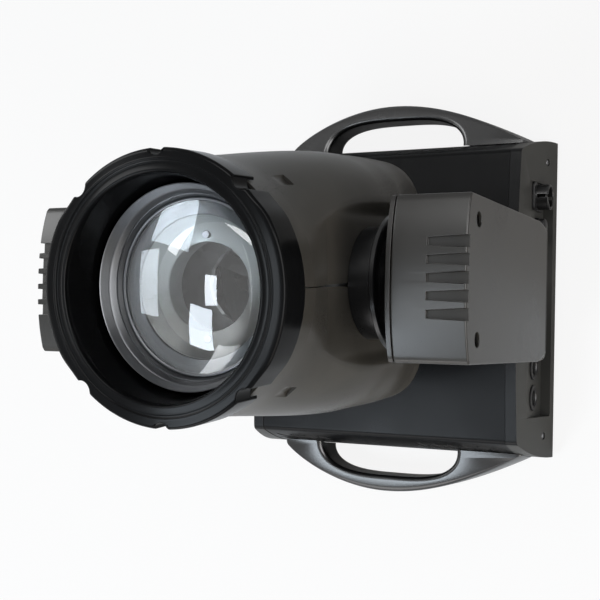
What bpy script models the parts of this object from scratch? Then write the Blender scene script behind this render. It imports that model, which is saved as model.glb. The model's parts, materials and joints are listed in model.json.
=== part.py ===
# Moving head beam light: a flared base with two carrying handles, a panning yoke and a tilting head.
# Metres, +Z up. The base rests on z = 0, the connector panel faces -Y and the handles are at +X and -X.
# The head is drawn upright about its tilt axis and then leans a little, as a free head does.

import math

import bmesh
import bpy
from mathutils import Matrix, Vector

for old in list(bpy.data.objects):
    bpy.data.objects.remove(old, do_unlink=True)

fixture = bpy.data.collections.new("moving_head_beam_light")
cutters = bpy.data.collections.new("cutters")
for group in (fixture, cutters):
    bpy.context.scene.collection.children.link(group)

# Clearances and walls shared by the whole assembly
FIT = 0.0004            # still pieces that seat on each other
RUN = 0.0008            # a turning piece beside a still one
WALL = 0.0025           # moulded covers
SHEET = 0.0025          # folded steel

# Base
FOOT_H = 0.008
BASE_TOP_Z = 0.088
BASE_TOP_W, BASE_FOOT_W = 0.281, 0.317
BASE_TOP_D, BASE_FOOT_D = 0.285, 0.315
CROWN = 0.006           # rise of the lid at its middle
END_LIP = 0.011         # depth of the end castings along the lid
RECESS_X = (-0.117, 0.113)
RECESS_LOW, RECESS_TOP = 0.0165, BASE_TOP_Z - 0.018
RECESS_DEEP = 0.0044    # depth of the recess floor behind the leaning face, at the sockets' height
FOOT_INSET, FOOT_R = 0.0300, 0.015
FOOT_X, FOOT_Y = BASE_FOOT_W / 2 - FOOT_INSET, BASE_FOOT_D / 2 - FOOT_INSET
SPIGOT_R = 0.0030
BRACKET_X, BRACKET_Y, BRACKET_R = 0.053, 0.090, 0.0055     # holes for two rigging brackets under the base
PAST = 0.30             # every through cut runs this far past the piece

# Handles
HANDLE_REACH = 0.2025
HANDLE_APEX_Y, HANDLE_REAR, HANDLE_FRONT = 0.012, 0.113, 0.150     # blunt toward the sockets, drawn out toward the screen
HANDLE_Z = (0.012, 0.052)
GRIP_MID_Y, GRIP_HALF = 0.0055, 0.0755
GRIP_BAR = 0.0170       # thickness of the bow outside the grip opening
HANDLE_DROP = 0.22      # slope of the top, rise over run
HANDLE_ROUND = 0.006

# Yoke
ARM_HALF_W = 0.060
ARM_IN, ARM_OUT = 0.126, 0.1863
ARM_TOP_Z, ARM_FOOT_Z = 0.368, 0.158
ARM_CROWN = 0.009
BEAM_TOP_Z, BEAM_FOOT_Z = 0.140, 0.0995
BEAM_FOOT_HALF = 0.112
SEAM_Y = 0.130          # joint between an arm's inner and outer cover
UPRIGHT_Y = 0.150       # inner face of the chassis uprights
FRAME_GAP = 0.006       # yoke chassis above the beam's floor

# Drives
TILT_Z = 0.306
BIG_PULLEY_R, SMALL_PULLEY_R = 0.0440, 0.0088
BELT_T = 0.0014
BELT_W = 0.009
TILT_MOTOR_Z = 0.205
PAN_MOTOR_Y = 0.078
PAN_MOTOR_L = 0.047
TILT_MOTOR_L = ARM_OUT - WALL - UPRIGHT_Y - SHEET - 0.0043
MOTOR_W, MOTOR_BOSS_R = 0.0565, 0.011
SHAFT_PIN_R, SHAFT_PIN_IN = 0.0032, 0.010      # a pinion's own shaft and its depth in the motor
RIM_T, ROOT_GAP = 0.0007, 0.0008               # pulley flange, and the belt above the pulley's root

# Head, drawn about the tilt axis with z toward the lens
HEAD_LEAN = math.radians(-4.6)
BEZEL_R, BEZEL_TOP, BEZEL_FOOT = 0.0955, 0.166, 0.137
BEZEL_BORE = 0.0775
SHELL_TOP, SHELL_FOOT = 0.145, -0.104
REAR_FOOT = -0.1385
HUB_R, HUB_FACE = 0.054, 0.1105
NECK_R, SHAFT_R, SHAFT_BORE = 0.034, 0.0175, 0.010
RAIL_Y = 0.0775
BARREL_R, LENS_R, FIELD_R = 0.0705, 0.0640, 0.0290      # FIELD_R is the opening in the barrel's floor
LENS_SEAT = 0.1118
BARREL_FRONT, BARREL_FOOT = 0.1336, 0.084
HOOD_R = 0.0738         # rim of the barrel's flared front

BASE = Matrix.Identity(4)
HEAD = Matrix.Translation((0, 0, TILT_Z)) @ Matrix.Rotation(HEAD_LEAN, 4, "Y")
UPRIGHT = Matrix.Rotation(math.pi / 2, 4, "X")            # drawn (x, y) becomes (X, Z), depth toward -Y
SIDEWAYS = Matrix(((0, 0, 1, 0), (1, 0, 0, 0), (0, 1, 0, 0), (0, 0, 0, 1)))   # drawn (x, y) becomes (Y, Z)


# Modelling helpers
def link(name, mesh, group=fixture):
    piece = bpy.data.objects.new(name, mesh)
    group.objects.link(piece)
    return piece


def from_bmesh(name, bm, group=fixture):
    bmesh.ops.recalc_face_normals(bm, faces=bm.faces)
    mesh = bpy.data.meshes.new(name)
    bm.to_mesh(mesh)
    bm.free()
    return link(name, mesh, group)


def box(name, low, high, group=fixture):
    bm = bmesh.new()
    bmesh.ops.create_cube(bm, size=1)
    size = Vector(high) - Vector(low)
    bmesh.ops.scale(bm, vec=size, verts=bm.verts)
    bmesh.ops.translate(bm, vec=(Vector(low) + Vector(high)) / 2, verts=bm.verts)
    return from_bmesh(name, bm, group)


def drum(name, radius, low, high, sides=24, group=fixture, top_radius=None):
    bm = bmesh.new()
    bmesh.ops.create_cone(bm, cap_ends=True, segments=sides, radius1=radius,
                          radius2=radius if top_radius is None else top_radius, depth=high - low)
    bmesh.ops.translate(bm, vec=(0, 0, (low + high) / 2), verts=bm.verts)
    return from_bmesh(name, bm, group)


def turned(name, profile, steps=24, group=fixture):
    """A closed profile of (radius, z), run down its outer side, turned about Z. Radius 0 closes on the axis."""
    open_ended = profile[0][0] == 0 and profile[-1][0] == 0
    mesh = bpy.data.meshes.new(name)
    edges = [(i, i + 1) for i in range(len(profile) - 1)] + ([] if open_ended else [(len(profile) - 1, 0)])
    mesh.from_pydata([(r, 0, z) for r, z in profile], edges, [])
    piece = link(name, mesh, group)
    screw = piece.modifiers.new("Turn", "SCREW")
    screw.steps = screw.render_steps = steps
    screw.use_merge_vertices = True
    screw.merge_threshold = 0.00001
    return applied(piece)


def plate(name, outlines, low, high, group=fixture):
    """A flat outline, with any holes, between two heights: a filled 2D curve made a mesh."""
    curve = bpy.data.curves.new(name, "CURVE")
    curve.dimensions, curve.fill_mode, curve.extrude = "2D", "BOTH", (high - low) / 2
    for outline in outlines:
        spline = curve.splines.new("POLY")
        spline.points.add(len(outline) - 1)
        for point, (x, y) in zip(spline.points, outline):
            point.co = (x, y, 0, 1)
        spline.use_cyclic_u = True
    piece = link(name, curve, group)
    mesh = bpy.data.meshes.new_from_object(piece.evaluated_get(bpy.context.evaluated_depsgraph_get()))
    bpy.data.objects.remove(piece)
    bm = bmesh.new()
    bm.from_mesh(mesh)
    bmesh.ops.remove_doubles(bm, verts=bm.verts, dist=1e-6)
    bmesh.ops.dissolve_limit(bm, angle_limit=0.001, verts=bm.verts, edges=bm.edges)
    bmesh.ops.translate(bm, vec=(0, 0, (low + high) / 2), verts=bm.verts)
    return from_bmesh(name, bm, group)


def loft(name, rings, group=fixture, closed=True, caps=True):
    """Faces between rings that differ too much for a modifier; every ring has the same number of points."""
    bm = bmesh.new()
    rows = [[bm.verts.new(p) for p in ring] for ring in rings]
    count = len(rings[0])
    for low, high in zip(rows, rows[1:]):
        for i in range(count if closed else count - 1):
            j = (i + 1) % count
            bm.faces.new((low[i], low[j], high[j], high[i]))
    if caps:
        bm.faces.new(rows[0])
        bm.faces.new(rows[-1])
    return from_bmesh(name, bm, group)


def applied(piece):
    """The piece with its modifiers turned into plain mesh."""
    graph = bpy.context.evaluated_depsgraph_get()
    mesh = bpy.data.meshes.new_from_object(piece.evaluated_get(graph))
    piece.modifiers.clear()
    piece.data = mesh
    return piece


def laid(piece, matrix):
    piece.data.transform(matrix)
    if matrix.determinant() < 0:
        piece.data.flip_normals()
    return piece


def shifted(piece, x=0.0, y=0.0, z=0.0):
    return laid(piece, Matrix.Translation((x, y, z)))


def boolean(piece, other, operation):
    change = piece.modifiers.new(operation.title(), "BOOLEAN")
    change.operation, change.object, change.solver = operation, other, "EXACT"
    applied(piece)
    other.hide_render, other.display_type = True, "WIRE"
    if operation == "UNION":
        bpy.data.objects.remove(other)
    return piece


def cut(piece, *tools):
    for tool in tools:
        boolean(piece, tool, "DIFFERENCE")
    return piece


def joined(piece, *others):
    for other in others:
        boolean(piece, other, "UNION")
    return piece


def bevelled(piece, width, segments=1, angle=40):
    bevel = piece.modifiers.new("Edges", "BEVEL")
    bevel.width, bevel.segments, bevel.angle_limit = width, segments, math.radians(angle)
    bevel.limit_method = "ANGLE"
    return applied(piece)


def finished(piece, frame, colour, roughness, metallic=0.0, origin=(0, 0, 0), smooth=True):
    """Puts the piece in its frame with its origin on its joint, and gives it its own paint."""
    piece.data.transform(Matrix.Translation(-Vector(origin)))
    piece.matrix_world = frame @ Matrix.Translation(origin)
    if smooth:
        piece.data.shade_smooth()
        piece.data.set_sharp_from_angle(angle=math.radians(35))
    paint = bpy.data.materials.new(piece.name)
    paint.use_nodes = True
    shader = paint.node_tree.nodes["Principled BSDF"]
    shader.inputs["Base Color"].default_value = (*colour, 1)
    shader.inputs["Roughness"].default_value = roughness
    shader.inputs["Metallic"].default_value = metallic
    piece.data.materials.clear()
    piece.data.materials.append(paint)
    return piece


def circle(radius, count=32, x=0.0, y=0.0):
    return [(x + radius * math.cos(math.tau * i / count), y + radius * math.sin(math.tau * i / count))
            for i in range(count)]


def rectangle(half_x, half_y, x=0.0, y=0.0, corner=0.0, steps=3):
    """A rectangle about (x, y); a corner radius rounds it with short arcs."""
    points = []
    for turn, (sx, sy) in enumerate(((1, 1), (-1, 1), (-1, -1), (1, -1))):
        cx, cy = x + sx * (half_x - corner), y + sy * (half_y - corner)
        if not corner:
            points.append((cx, cy))
            continue
        for i in range(steps + 1):
            a = math.pi / 2 * (turn + i / steps)
            points.append((cx + corner * math.cos(a), cy + corner * math.sin(a)))
    return points


# Colours read from the photo, as linear values
BLACK_SATIN = (0.012, 0.012, 0.013)
DARK_GREY = (0.042, 0.042, 0.039)
HEAD_GREY = (0.046, 0.044, 0.039)
STEEL = (0.45, 0.45, 0.46)
ALUMINIUM = (0.62, 0.62, 0.63)
RUBBER = (0.012, 0.012, 0.012)


# Base shape: the flank curves out toward the foot, and the two end faces lean out in a straight line
def height_share(z):
    return (z - FOOT_H) / (BASE_TOP_Z - FOOT_H)


def flank(z):
    return BASE_FOOT_W / 2 - (BASE_FOOT_W - BASE_TOP_W) / 2 * height_share(z) ** 2


def end_face(z):
    return BASE_FOOT_D / 2 - (BASE_FOOT_D - BASE_TOP_D) / 2 * height_share(z)


def base_arch(inset=0.0, flank_steps=6, lid_steps=8):
    """The base's cross-section as (x, z): up one flank, over the crowned lid and down the other."""
    top = BASE_TOP_Z - inset
    half = flank(top) - inset
    rise = [FOOT_H + (top - FOOT_H) * i / flank_steps for i in range(flank_steps)]
    lid = [half * (1 - 2 * i / lid_steps) for i in range(lid_steps + 1)]
    right = [(flank(z) - inset, z) for z in rise]
    over = [(x, top + CROWN * (1 - (x / half) ** 2)) for x in lid]
    return right + over + [(-x, z) for x, z in reversed(right)]


SEAT_Y = BASE_TOP_D / 2 - END_LIP      # where the lid cover meets the end castings
FACE_SLOPE = math.atan((BASE_FOOT_D - BASE_TOP_D) / 2 / (BASE_TOP_Z - FOOT_H))


def end_casting(name, side):
    """A deep cap: outer skin from the seat to the leaning face, and an inner skin one wall in."""
    outer, inner = base_arch(), base_arch(WALL)

    def at(points, y_of):
        return [Vector((x, side * y_of(z), z)) for x, z in points]
    bm = bmesh.new()
    seat_out, face_out, face_in, seat_in = (
        [bm.verts.new(p) for p in ring] for ring in (
            at(outer, lambda z: SEAT_Y), at(outer, end_face),
            at(inner, lambda z: end_face(z) - WALL), at(inner, lambda z: SEAT_Y)))
    last = len(outer) - 1
    for near, far in ((seat_out, face_out), (face_in, seat_in), (seat_in, seat_out)):
        for i in range(last):
            bm.faces.new((near[i], near[i + 1], far[i + 1], far[i]))
    for i in (0, last):
        bm.faces.new((seat_out[i], face_out[i], face_in[i], seat_in[i]))
    bm.faces.new((face_out[0], face_out[last], face_in[last], face_in[0]))
    bm.faces.new(face_out)
    bm.faces.new(face_in)
    return from_bmesh(name, bm)


def on_display(x, up, depth=0.0):
    """A place on the leaning +Y face: x across, up along the slope from the foot, depth into the base."""
    c, s = math.cos(FACE_SLOPE), math.sin(FACE_SLOPE)
    return Vector((x, BASE_FOOT_D / 2 - up * s - depth * c, FOOT_H + up * c - depth * s))


def display_frame(x, up):
    """Local z points out of the leaning +Y face, local y up along it."""
    return Matrix.Translation(on_display(x, up)) @ Matrix.Rotation(math.pi, 4, "Z") @ \
        Matrix.Rotation(math.pi / 2 - FACE_SLOPE, 4, "X")


# Connector end: the casting at -Y, with a recess whose upright floor sinks into the leaning face
SOCKETS = {"data_input": -0.068, "data_output": -0.098}
SOCKET_Z, SOCKET_R = 0.046, 0.0105
RECESS_FLOOR_Y = -(end_face(SOCKET_Z) - RECESS_DEEP)
SOCKET_BORE, PIN_R, PIN_RING = 0.0075, 0.0011, 0.0040
FLANGE = 0.0022         # a round socket's rim outside its opening
INLET_X, INLET_R = 0.099, 0.0125
INLET_BORE, INLET_CORE, KEY_HALF = 0.0098, 0.0045, 0.0017
FUSE_X, FUSE_R = 0.070, 0.0065
FLOOR_BACK = RECESS_FLOOR_Y + WALL
PANEL_CUT = 0.02        # a panel opening is cut this far each way from the floor


def connector_end():
    casting = end_casting("connector_end", -1)
    low, high, wall = RECESS_LOW - WALL, RECESS_TOP + WALL, WALL / 2
    tub = laid(plate("tub", [[(FLOOR_BACK, low), (-end_face(low) + wall, low), (-end_face(high) + wall, high),
                              (FLOOR_BACK, high)]], RECESS_X[0] - WALL, RECESS_X[1] + WALL), SIDEWAYS)
    joined(casting, tub)
    recess = box("recess_cutter", (RECESS_X[0], -PAST, RECESS_LOW), (RECESS_X[1], RECESS_FLOOR_Y, RECESS_TOP), cutters)

    def opening(label, radius, x, sides):
        return laid(drum(label, radius + FIT, -PANEL_CUT, PANEL_CUT, sides, cutters),
                    Matrix.Translation((x, FLOOR_BACK, SOCKET_Z)) @ UPRIGHT)
    holes = [opening("socket_cutter", SOCKET_R, x, 16) for x in SOCKETS.values()]
    holes += [opening("inlet_cutter", INLET_R, INLET_X, 20), opening("fuse_cutter", FUSE_R, FUSE_X, 12)]
    cut(casting, recess, *holes)
    return finished(casting, BASE, DARK_GREY, 0.5)


def data_socket(name, x):
    """A three-pin round socket: flange on the recess floor, cup behind it, pins on the cup's floor."""
    lip, back, floor = 0.0018, -0.016, 0.003
    cup = turned(name, [(0.0, back + floor), (SOCKET_BORE, back + floor), (SOCKET_BORE, lip),
                        (SOCKET_R + FLANGE, lip), (SOCKET_R + FLANGE, FIT), (SOCKET_R, FIT), (SOCKET_R, back),
                        (0.0, back)], 16)
    for turn in (90, 210, 330):
        a = math.radians(turn)
        pin = shifted(drum("pin", PIN_R, back + floor / 2, -0.002, 6), PIN_RING * math.cos(a),
                      PIN_RING * math.sin(a))
        joined(cup, pin)
    laid(cup, Matrix.Translation((x, RECESS_FLOOR_Y, SOCKET_Z)) @ UPRIGHT)
    return finished(cup, BASE, BLACK_SATIN, 0.45)


def power_inlet():
    """A round locking mains inlet: square flange, proud collar with two key slots, closed cup."""
    flange, proud, back, floor = 0.0026, 0.0150, -0.020, 0.004
    inlet = turned("power_inlet", [(0.0, proud - floor), (INLET_CORE, proud - floor), (INLET_CORE, back + floor),
                                   (INLET_BORE, back + floor), (INLET_BORE, proud), (INLET_R, proud),
                                   (INLET_R, back), (0.0, back)], 20)
    joined(inlet, plate("flange", [rectangle(INLET_R + 0.001, INLET_R + 0.003, corner=0.003, steps=2),
                                   circle(INLET_R - 0.001, 20)], FIT, flange))
    for side in (-1, 1):
        key = shifted(box("key_cutter", (-KEY_HALF, -KEY_HALF, floor), (KEY_HALF, KEY_HALF, proud + floor), cutters),
                      y=side * (INLET_BORE + KEY_HALF / 2))
        cut(inlet, key)
    laid(inlet, Matrix.Translation((INLET_X, RECESS_FLOOR_Y, SOCKET_Z)) @ UPRIGHT)
    return finished(inlet, BASE, (0.03, 0.03, 0.033), 0.35)


def fuse_holder():
    cap, proud, rim, back = FUSE_R + 0.0015, 0.0105, 0.0040, -0.022
    holder = turned("fuse_holder", [(0.0, proud), (cap - 0.0018, proud), (cap, proud - 0.0015), (cap, rim),
                                    (cap + 0.0010, rim), (cap + 0.0010, FIT), (FUSE_R, FIT), (FUSE_R, back),
                                    (0.0, back)], 12)
    cut(holder, box("coin_slot_cutter", (-FUSE_R * 0.8, -0.0008, proud - 0.0017), (FUSE_R * 0.8, 0.0008, 2 * proud),
                    cutters))
    laid(holder, Matrix.Translation((FUSE_X, RECESS_FLOOR_Y, SOCKET_Z)) @ UPRIGHT)
    return finished(holder, BASE, BLACK_SATIN, 0.4)


# Display end: the casting at +Y, with a screen window and four push buttons
SCREEN_HALF = (0.036, 0.019)
SCREEN_X, SCREEN_UP = 0.038, 0.042
BUTTONS = {"menu_button": -0.024, "down_button": -0.046, "up_button": -0.068, "enter_button": -0.090}
BUTTON_R, BUTTON_TRAVEL = 0.0055, 0.0015


def display_end():
    casting = end_casting("display_end", 1)
    window = laid(plate("window_cutter", [rectangle(*SCREEN_HALF, corner=0.002, steps=1)], -PANEL_CUT, PANEL_CUT, cutters),
                  display_frame(SCREEN_X, SCREEN_UP))
    holes = [laid(drum("button_cutter", BUTTON_R + FIT, -PANEL_CUT, PANEL_CUT, 10, cutters), display_frame(x, SCREEN_UP))
             for x in BUTTONS.values()]
    cut(casting, window, *holes)
    return finished(casting, BASE, DARK_GREY, 0.5)


def display_screen():
    half_x, half_y = (h - FIT for h in SCREEN_HALF)
    screen = joined(plate("display_screen", [rectangle(half_x, half_y, corner=0.0016, steps=1)], -WALL - 0.001, -0.0006),
                    plate("carrier", [rectangle(half_x + 0.004, half_y + 0.004)], -WALL - 0.0035, -WALL - FIT))
    return finished(laid(screen, display_frame(SCREEN_X, SCREEN_UP)), BASE, (0.01, 0.014, 0.02), 0.12)


def push_button(name, x):
    proud, stop = BUTTON_TRAVEL + 0.0010, -WALL - RUN
    cap = turned(name, [(0.0, proud), (BUTTON_R - 0.0010, proud), (BUTTON_R, proud - 0.0010), (BUTTON_R, stop),
                        (BUTTON_R + 0.0012, stop), (BUTTON_R + 0.0012, stop - 0.001), (0.0, stop - 0.001)], 10)
    laid(cap, display_frame(x, SCREEN_UP))
    return finished(cap, BASE, (0.05, 0.05, 0.05), 0.4, origin=on_display(x, SCREEN_UP))


# Lid cover: one folded skin over the base, with two rows of slanted vents low on each flank
VENT_L, VENT_W, VENT_PITCH = 0.0150, 0.0046, 0.0160
VENT_ROWS = (0.066, 0.052)
VENT_RUNS = ((0.070, 4), (-0.120, 6))      # first slot's y and how many follow at one pitch


def base_cover():
    outer, inner = base_arch(), base_arch(WALL)
    cover = laid(plate("base_cover", [outer + inner[::-1]], -SEAT_Y + FIT, SEAT_Y - FIT), UPRIGHT)
    slots = []
    for z in VENT_ROWS:
        for start, count in VENT_RUNS:
            for i in range(count):
                y = start + i * VENT_PITCH
                slots.append(slanted_slot(y, z))
    vents = laid(plate("vent_cutter", slots, -PAST, PAST, cutters), SIDEWAYS)
    neck = drum("neck_cutter", NECK_HOLE_R, BASE_TOP_Z - 0.01, BASE_TOP_Z + CROWN + 0.01, 20, cutters)
    cut(cover, vents, neck)
    return finished(cover, BASE, BLACK_SATIN, 0.42)


def slanted_slot(y, z):
    """An oblong leaning forty degrees, its ends cut level."""
    a = math.radians(40)
    half, side, nose = VENT_L / 2, VENT_W / 2, VENT_W * 0.4
    corners = ((half + nose, side), (nose - half, side), (-half - nose, -side), (half - nose, -side))
    return [(y + u * math.cos(a) - v * math.sin(a), z + u * math.sin(a) + v * math.cos(a)) for u, v in corners]


def base_plate():
    """The steel floor of the base, with holes for the feet's spigots and for two rigging brackets."""
    top = FOOT_H + SHEET
    half_x, half_y = flank(top) - WALL - 1.5 * FIT, end_face(top) - WALL - FIT
    floor = plate("base_plate", [rectangle(half_x, half_y, corner=0.006)], FOOT_H, top)
    feet = [shifted(drum("spigot_cutter", SPIGOT_R + FIT, FOOT_H - 0.01, top + 0.01, 10, cutters), x, y)
            for x in (-FOOT_X, FOOT_X) for y in (-FOOT_Y, FOOT_Y)]
    brackets = [shifted(drum("bracket_cutter", BRACKET_R, FOOT_H - 0.01, top + 0.01, 20, cutters), x, y)
                for x in (-BRACKET_X, BRACKET_X) for y in (-BRACKET_Y, BRACKET_Y)]
    cut(floor, *feet, *brackets)
    return finished(floor, BASE, BLACK_SATIN, 0.5)


def rubber_foot(name, x, y):
    """A turned foot with a spigot pressed up through the floor plate."""
    spigot, seat = FOOT_H + SHEET + 0.001, FOOT_H - FIT
    foot = turned(name, [(0.0, spigot), (SPIGOT_R, spigot), (SPIGOT_R, seat), (FOOT_R, seat),
                         (FOOT_R - 0.002, 0.0), (0.0, 0.0)], 10)
    return finished(shifted(foot, x, y), BASE, RUBBER, 0.8)


# Handles: moulded bows outside each flank, bevelled round the grip opening
def handle_outline(side, edge, z):
    """The bow as (x, y) at one height, drawn back from its edges by edge, seated on the flank at height z."""
    seat = flank(z) + FIT
    bow, grip, steps = [], [], 18

    def reach(y):
        half, power = (HANDLE_REAR, 0.65) if y > HANDLE_APEX_Y else (HANDLE_FRONT, 0.95)
        share = max(0.0, math.cos(math.pi / 2 * (y - HANDLE_APEX_Y) / half))
        return seat + (HANDLE_REACH - edge - seat) * share ** power

    def hollow(y):
        share = max(0.0, 1 - abs((y - GRIP_MID_Y) / (GRIP_HALF + edge)) ** 3.2)
        return seat + (HANDLE_REACH - GRIP_BAR + edge - seat) * share ** 0.45
    for i in range(steps + 1):
        a = math.cos(math.pi * i / steps)
        y = HANDLE_APEX_Y + ((HANDLE_REAR if a > 0 else HANDLE_FRONT) - edge) * a
        bow.append((reach(y) if 0 < i < steps else seat, y))
        y = GRIP_MID_Y - (GRIP_HALF + edge) * a
        grip.append((hollow(y) if 0 < i < steps else seat, y))
    return [(side * x, y) for x, y in bow + grip]


def handle(name, side):
    low, high = HANDLE_Z
    levels = ((low, HANDLE_ROUND * 0.6), (low + 0.004, 0.0), ((low + high) / 2, 0.0), (high - HANDLE_ROUND, 0.0),
              (high - HANDLE_ROUND * 0.3, HANDLE_ROUND * 0.35), (high, HANDLE_ROUND))
    rings = []
    for z, edge in levels:
        drop = HANDLE_DROP * (z - low) / (high - low)
        rings.append([(x, y, z - drop * (abs(x) - flank(high))) for x, y in handle_outline(side, edge, z)])
    bow = loft(name, rings)
    return finished(bow, BASE, (0.02, 0.02, 0.021), 0.4)


# Inside the base: a folded chassis that carries the pan bearing and motor, the power supply and the board
CHASSIS_TOP = 0.0655
LEG_X, BENCH_FLANGE, BENCH_INSET = 0.064, 0.012, 0.0195
CASE_TOP, CASE_L, CASE_GAP = 0.058, 0.190, 0.003
PAN_BEARING_R, BEARING_FLANGE = 0.033, 0.005
SPINDLE_R, SPINDLE_BORE, SPINDLE_FLANGE = 0.0195, 0.012, 0.034
NECK_HOLE_R = SPINDLE_R + 0.004
PAN_BELT_Z = CHASSIS_TOP + 0.007


def base_chassis():
    half_x, top = LEG_X, CHASSIS_TOP
    half_y = SEAT_Y - BENCH_INSET
    floor, flange = FOOT_H + SHEET + FIT, LEG_X + BENCH_FLANGE
    fold = [(flange, floor), (flange, floor + SHEET), (half_x, floor + SHEET), (half_x, top),
            (-half_x, top), (-half_x, floor + SHEET), (-flange, floor + SHEET), (-flange, floor)]
    inside = [(-half_x + SHEET, floor), (-half_x + SHEET, top - SHEET), (half_x - SHEET, top - SHEET),
              (half_x - SHEET, floor)]
    bench = laid(plate("base_chassis", [fold + inside], -half_y, half_y), UPRIGHT)
    bore = drum("bearing_cutter", PAN_BEARING_R + FIT, top - 0.01, top + 0.01, 20, cutters)
    boss = shifted(drum("motor_boss_cutter", MOTOR_BOSS_R + RUN, top - 0.01, top + 0.01, 16, cutters), y=PAN_MOTOR_Y)
    return finished(cut(bench, bore, boss), BASE, STEEL, 0.4, 1.0)


def pan_bearing():
    """The housing of the pan bearing: pressed in the chassis, with a flange under the plate."""
    top, under, rim = CHASSIS_TOP + 0.001, CHASSIS_TOP - SHEET - FIT, PAN_BEARING_R + BEARING_FLANGE
    ring = turned("pan_bearing", [(SPINDLE_R + FIT, top), (PAN_BEARING_R, top), (PAN_BEARING_R, under), (rim, under),
                                  (rim, under - BEARING_FLANGE), (SPINDLE_R + FIT, under - BEARING_FLANGE)], 20)
    return finished(ring, BASE, STEEL, 0.3, 1.0)


def motor(name, length):
    """A square stepper with clipped corners, a plain waist and a pilot boss, drawn down from z = 0."""
    half, clip, end = MOTOR_W / 2, 0.006, 0.006
    body = plate(name, [rectangle(half, half, corner=clip, steps=1)], -length, 0.0)
    waist = plate("waist_cutter", [rectangle(2 * half, 2 * half), circle(half * 1.18, 16)], end - length, -end, cutters)
    cut(body, waist)
    joined(body, drum("boss", MOTOR_BOSS_R, -end / 2, SHEET - RUN, 16))
    return cut(body, drum("shaft_cutter", SHAFT_PIN_R + FIT, -SHAFT_PIN_IN - RUN, end, 12, cutters))


def pinion(name, length, centre):
    """A small flanged pulley and its shaft in one piece, drawn up from z = 0 with the belt's middle at centre."""
    low, high = centre - BELT_W / 2 - FIT, centre + BELT_W / 2 + FIT
    root, rim = SMALL_PULLEY_R - ROOT_GAP, SMALL_PULLEY_R + BELT_T + ROOT_GAP
    return turned(name, [(0.0, length), (SHAFT_PIN_R, length), (SHAFT_PIN_R, high + RIM_T), (rim, high + RIM_T),
                         (rim, high), (root, high), (root, low), (rim, low), (rim, low - RIM_T),
                         (SHAFT_PIN_R, low - RIM_T), (SHAFT_PIN_R, -SHAFT_PIN_IN), (0.0, -SHAFT_PIN_IN)], 12)


def big_pulley(name, centre, bore):
    """A flanged pulley with five lightening holes, drawn about z = centre."""
    low, high = centre - BELT_W / 2 - FIT, centre + BELT_W / 2 + FIT
    root, rim = BIG_PULLEY_R - ROOT_GAP, BIG_PULLEY_R + BELT_T + ROOT_GAP
    wheel = turned(name, [(bore, high + RIM_T), (rim, high + RIM_T), (rim, high), (root, high), (root, low),
                          (rim, low), (rim, low - RIM_T), (bore, low - RIM_T)], 24)
    middle, hole = (bore + root) / 2, (root - bore) / 4
    for i in range(5):
        a = math.tau * i / 5
        cut(wheel, shifted(drum("lightening_cutter", hole, low - BELT_W, high + BELT_W, 8, cutters),
                           middle * math.cos(a), middle * math.sin(a)))
    return wheel


def belt(name, reach, centre):
    """A closed band round both pulleys, the small one reach away along +Y of the drawing."""
    def loop(grow):
        big, small = BIG_PULLEY_R + grow, SMALL_PULLEY_R + grow
        lean = math.asin((big - small) / reach)
        points = []
        for i in range(19):
            a = math.pi - lean + (math.pi + 2 * lean) * i / 18
            points.append((big * math.cos(a), big * math.sin(a)))
        for i in range(7):
            a = lean + (math.pi - 2 * lean) * i / 6
            points.append((small * math.cos(a), reach + small * math.sin(a)))
        return points
    return plate(name, [loop(BELT_T), loop(0.0)], centre - BELT_W / 2, centre + BELT_W / 2)


def pan_motor():
    body = shifted(motor("pan_motor", PAN_MOTOR_L), y=PAN_MOTOR_Y, z=CHASSIS_TOP - SHEET - FIT)
    return finished(body, BASE, (0.02, 0.02, 0.02), 0.45, 0.6)


def pan_pinion():
    rise = PAN_BELT_Z - CHASSIS_TOP
    wheel = shifted(pinion("pan_pinion", rise + BELT_W, rise), y=PAN_MOTOR_Y, z=CHASSIS_TOP)
    return finished(wheel, BASE, ALUMINIUM, 0.3, 1.0, origin=(0, PAN_MOTOR_Y, PAN_BELT_Z))


def pan_belt():
    return finished(belt("pan_belt", PAN_MOTOR_Y, PAN_BELT_Z), BASE, RUBBER, 0.7)


def power_supply():
    """A vented steel box beside the chassis, on the floor plate."""
    inner, outer = LEG_X + BENCH_FLANGE + CASE_GAP, flank(CASE_TOP) - WALL - CASE_GAP
    low = FOOT_H + SHEET + FIT
    case = bevelled(box("power_supply", (inner, -CASE_L / 2, low), (outer, CASE_L / 2, CASE_TOP)), 0.0012)
    slots = [rectangle(0.018, 0.0018, x=(inner + outer) / 2, y=0.0110 * i) for i in range(-2, 3)]
    cut(case, plate("slot_cutter", slots, CASE_TOP - 0.0015, CASE_TOP + 0.01, cutters))
    laid(case, Matrix.Scale(-1, 4, (1, 0, 0)))
    return finished(case, BASE, STEEL, 0.45, 1.0)


def control_board():
    """The circuit board behind the screen, on the display casting, with its larger components."""
    half_x, half_y, back = 0.105, 0.026, -WALL - 0.010
    board = plate("control_board", [rectangle(half_x, half_y)], back - 0.0016, back)
    for x, y, hx, hy, tall in ((-0.03, 0.0, 0.014, 0.012, 0.004), (0.06, -0.004, 0.01, 0.01, 0.0035),
                               (0.085, 0.008, 0.006, 0.008, 0.005)):
        joined(board, shifted(box("chip", (-hx, -hy, back - 0.001), (hx, hy, back + tall)), x, y))
    for x in (-0.09, 0.09):
        joined(board, shifted(drum("standoff", 0.003, back - 0.001, -WALL - FIT, 8), x, -0.018))
    return finished(laid(board, display_frame(0.0, 0.040)), BASE, (0.01, 0.09, 0.03), 0.4)


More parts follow.
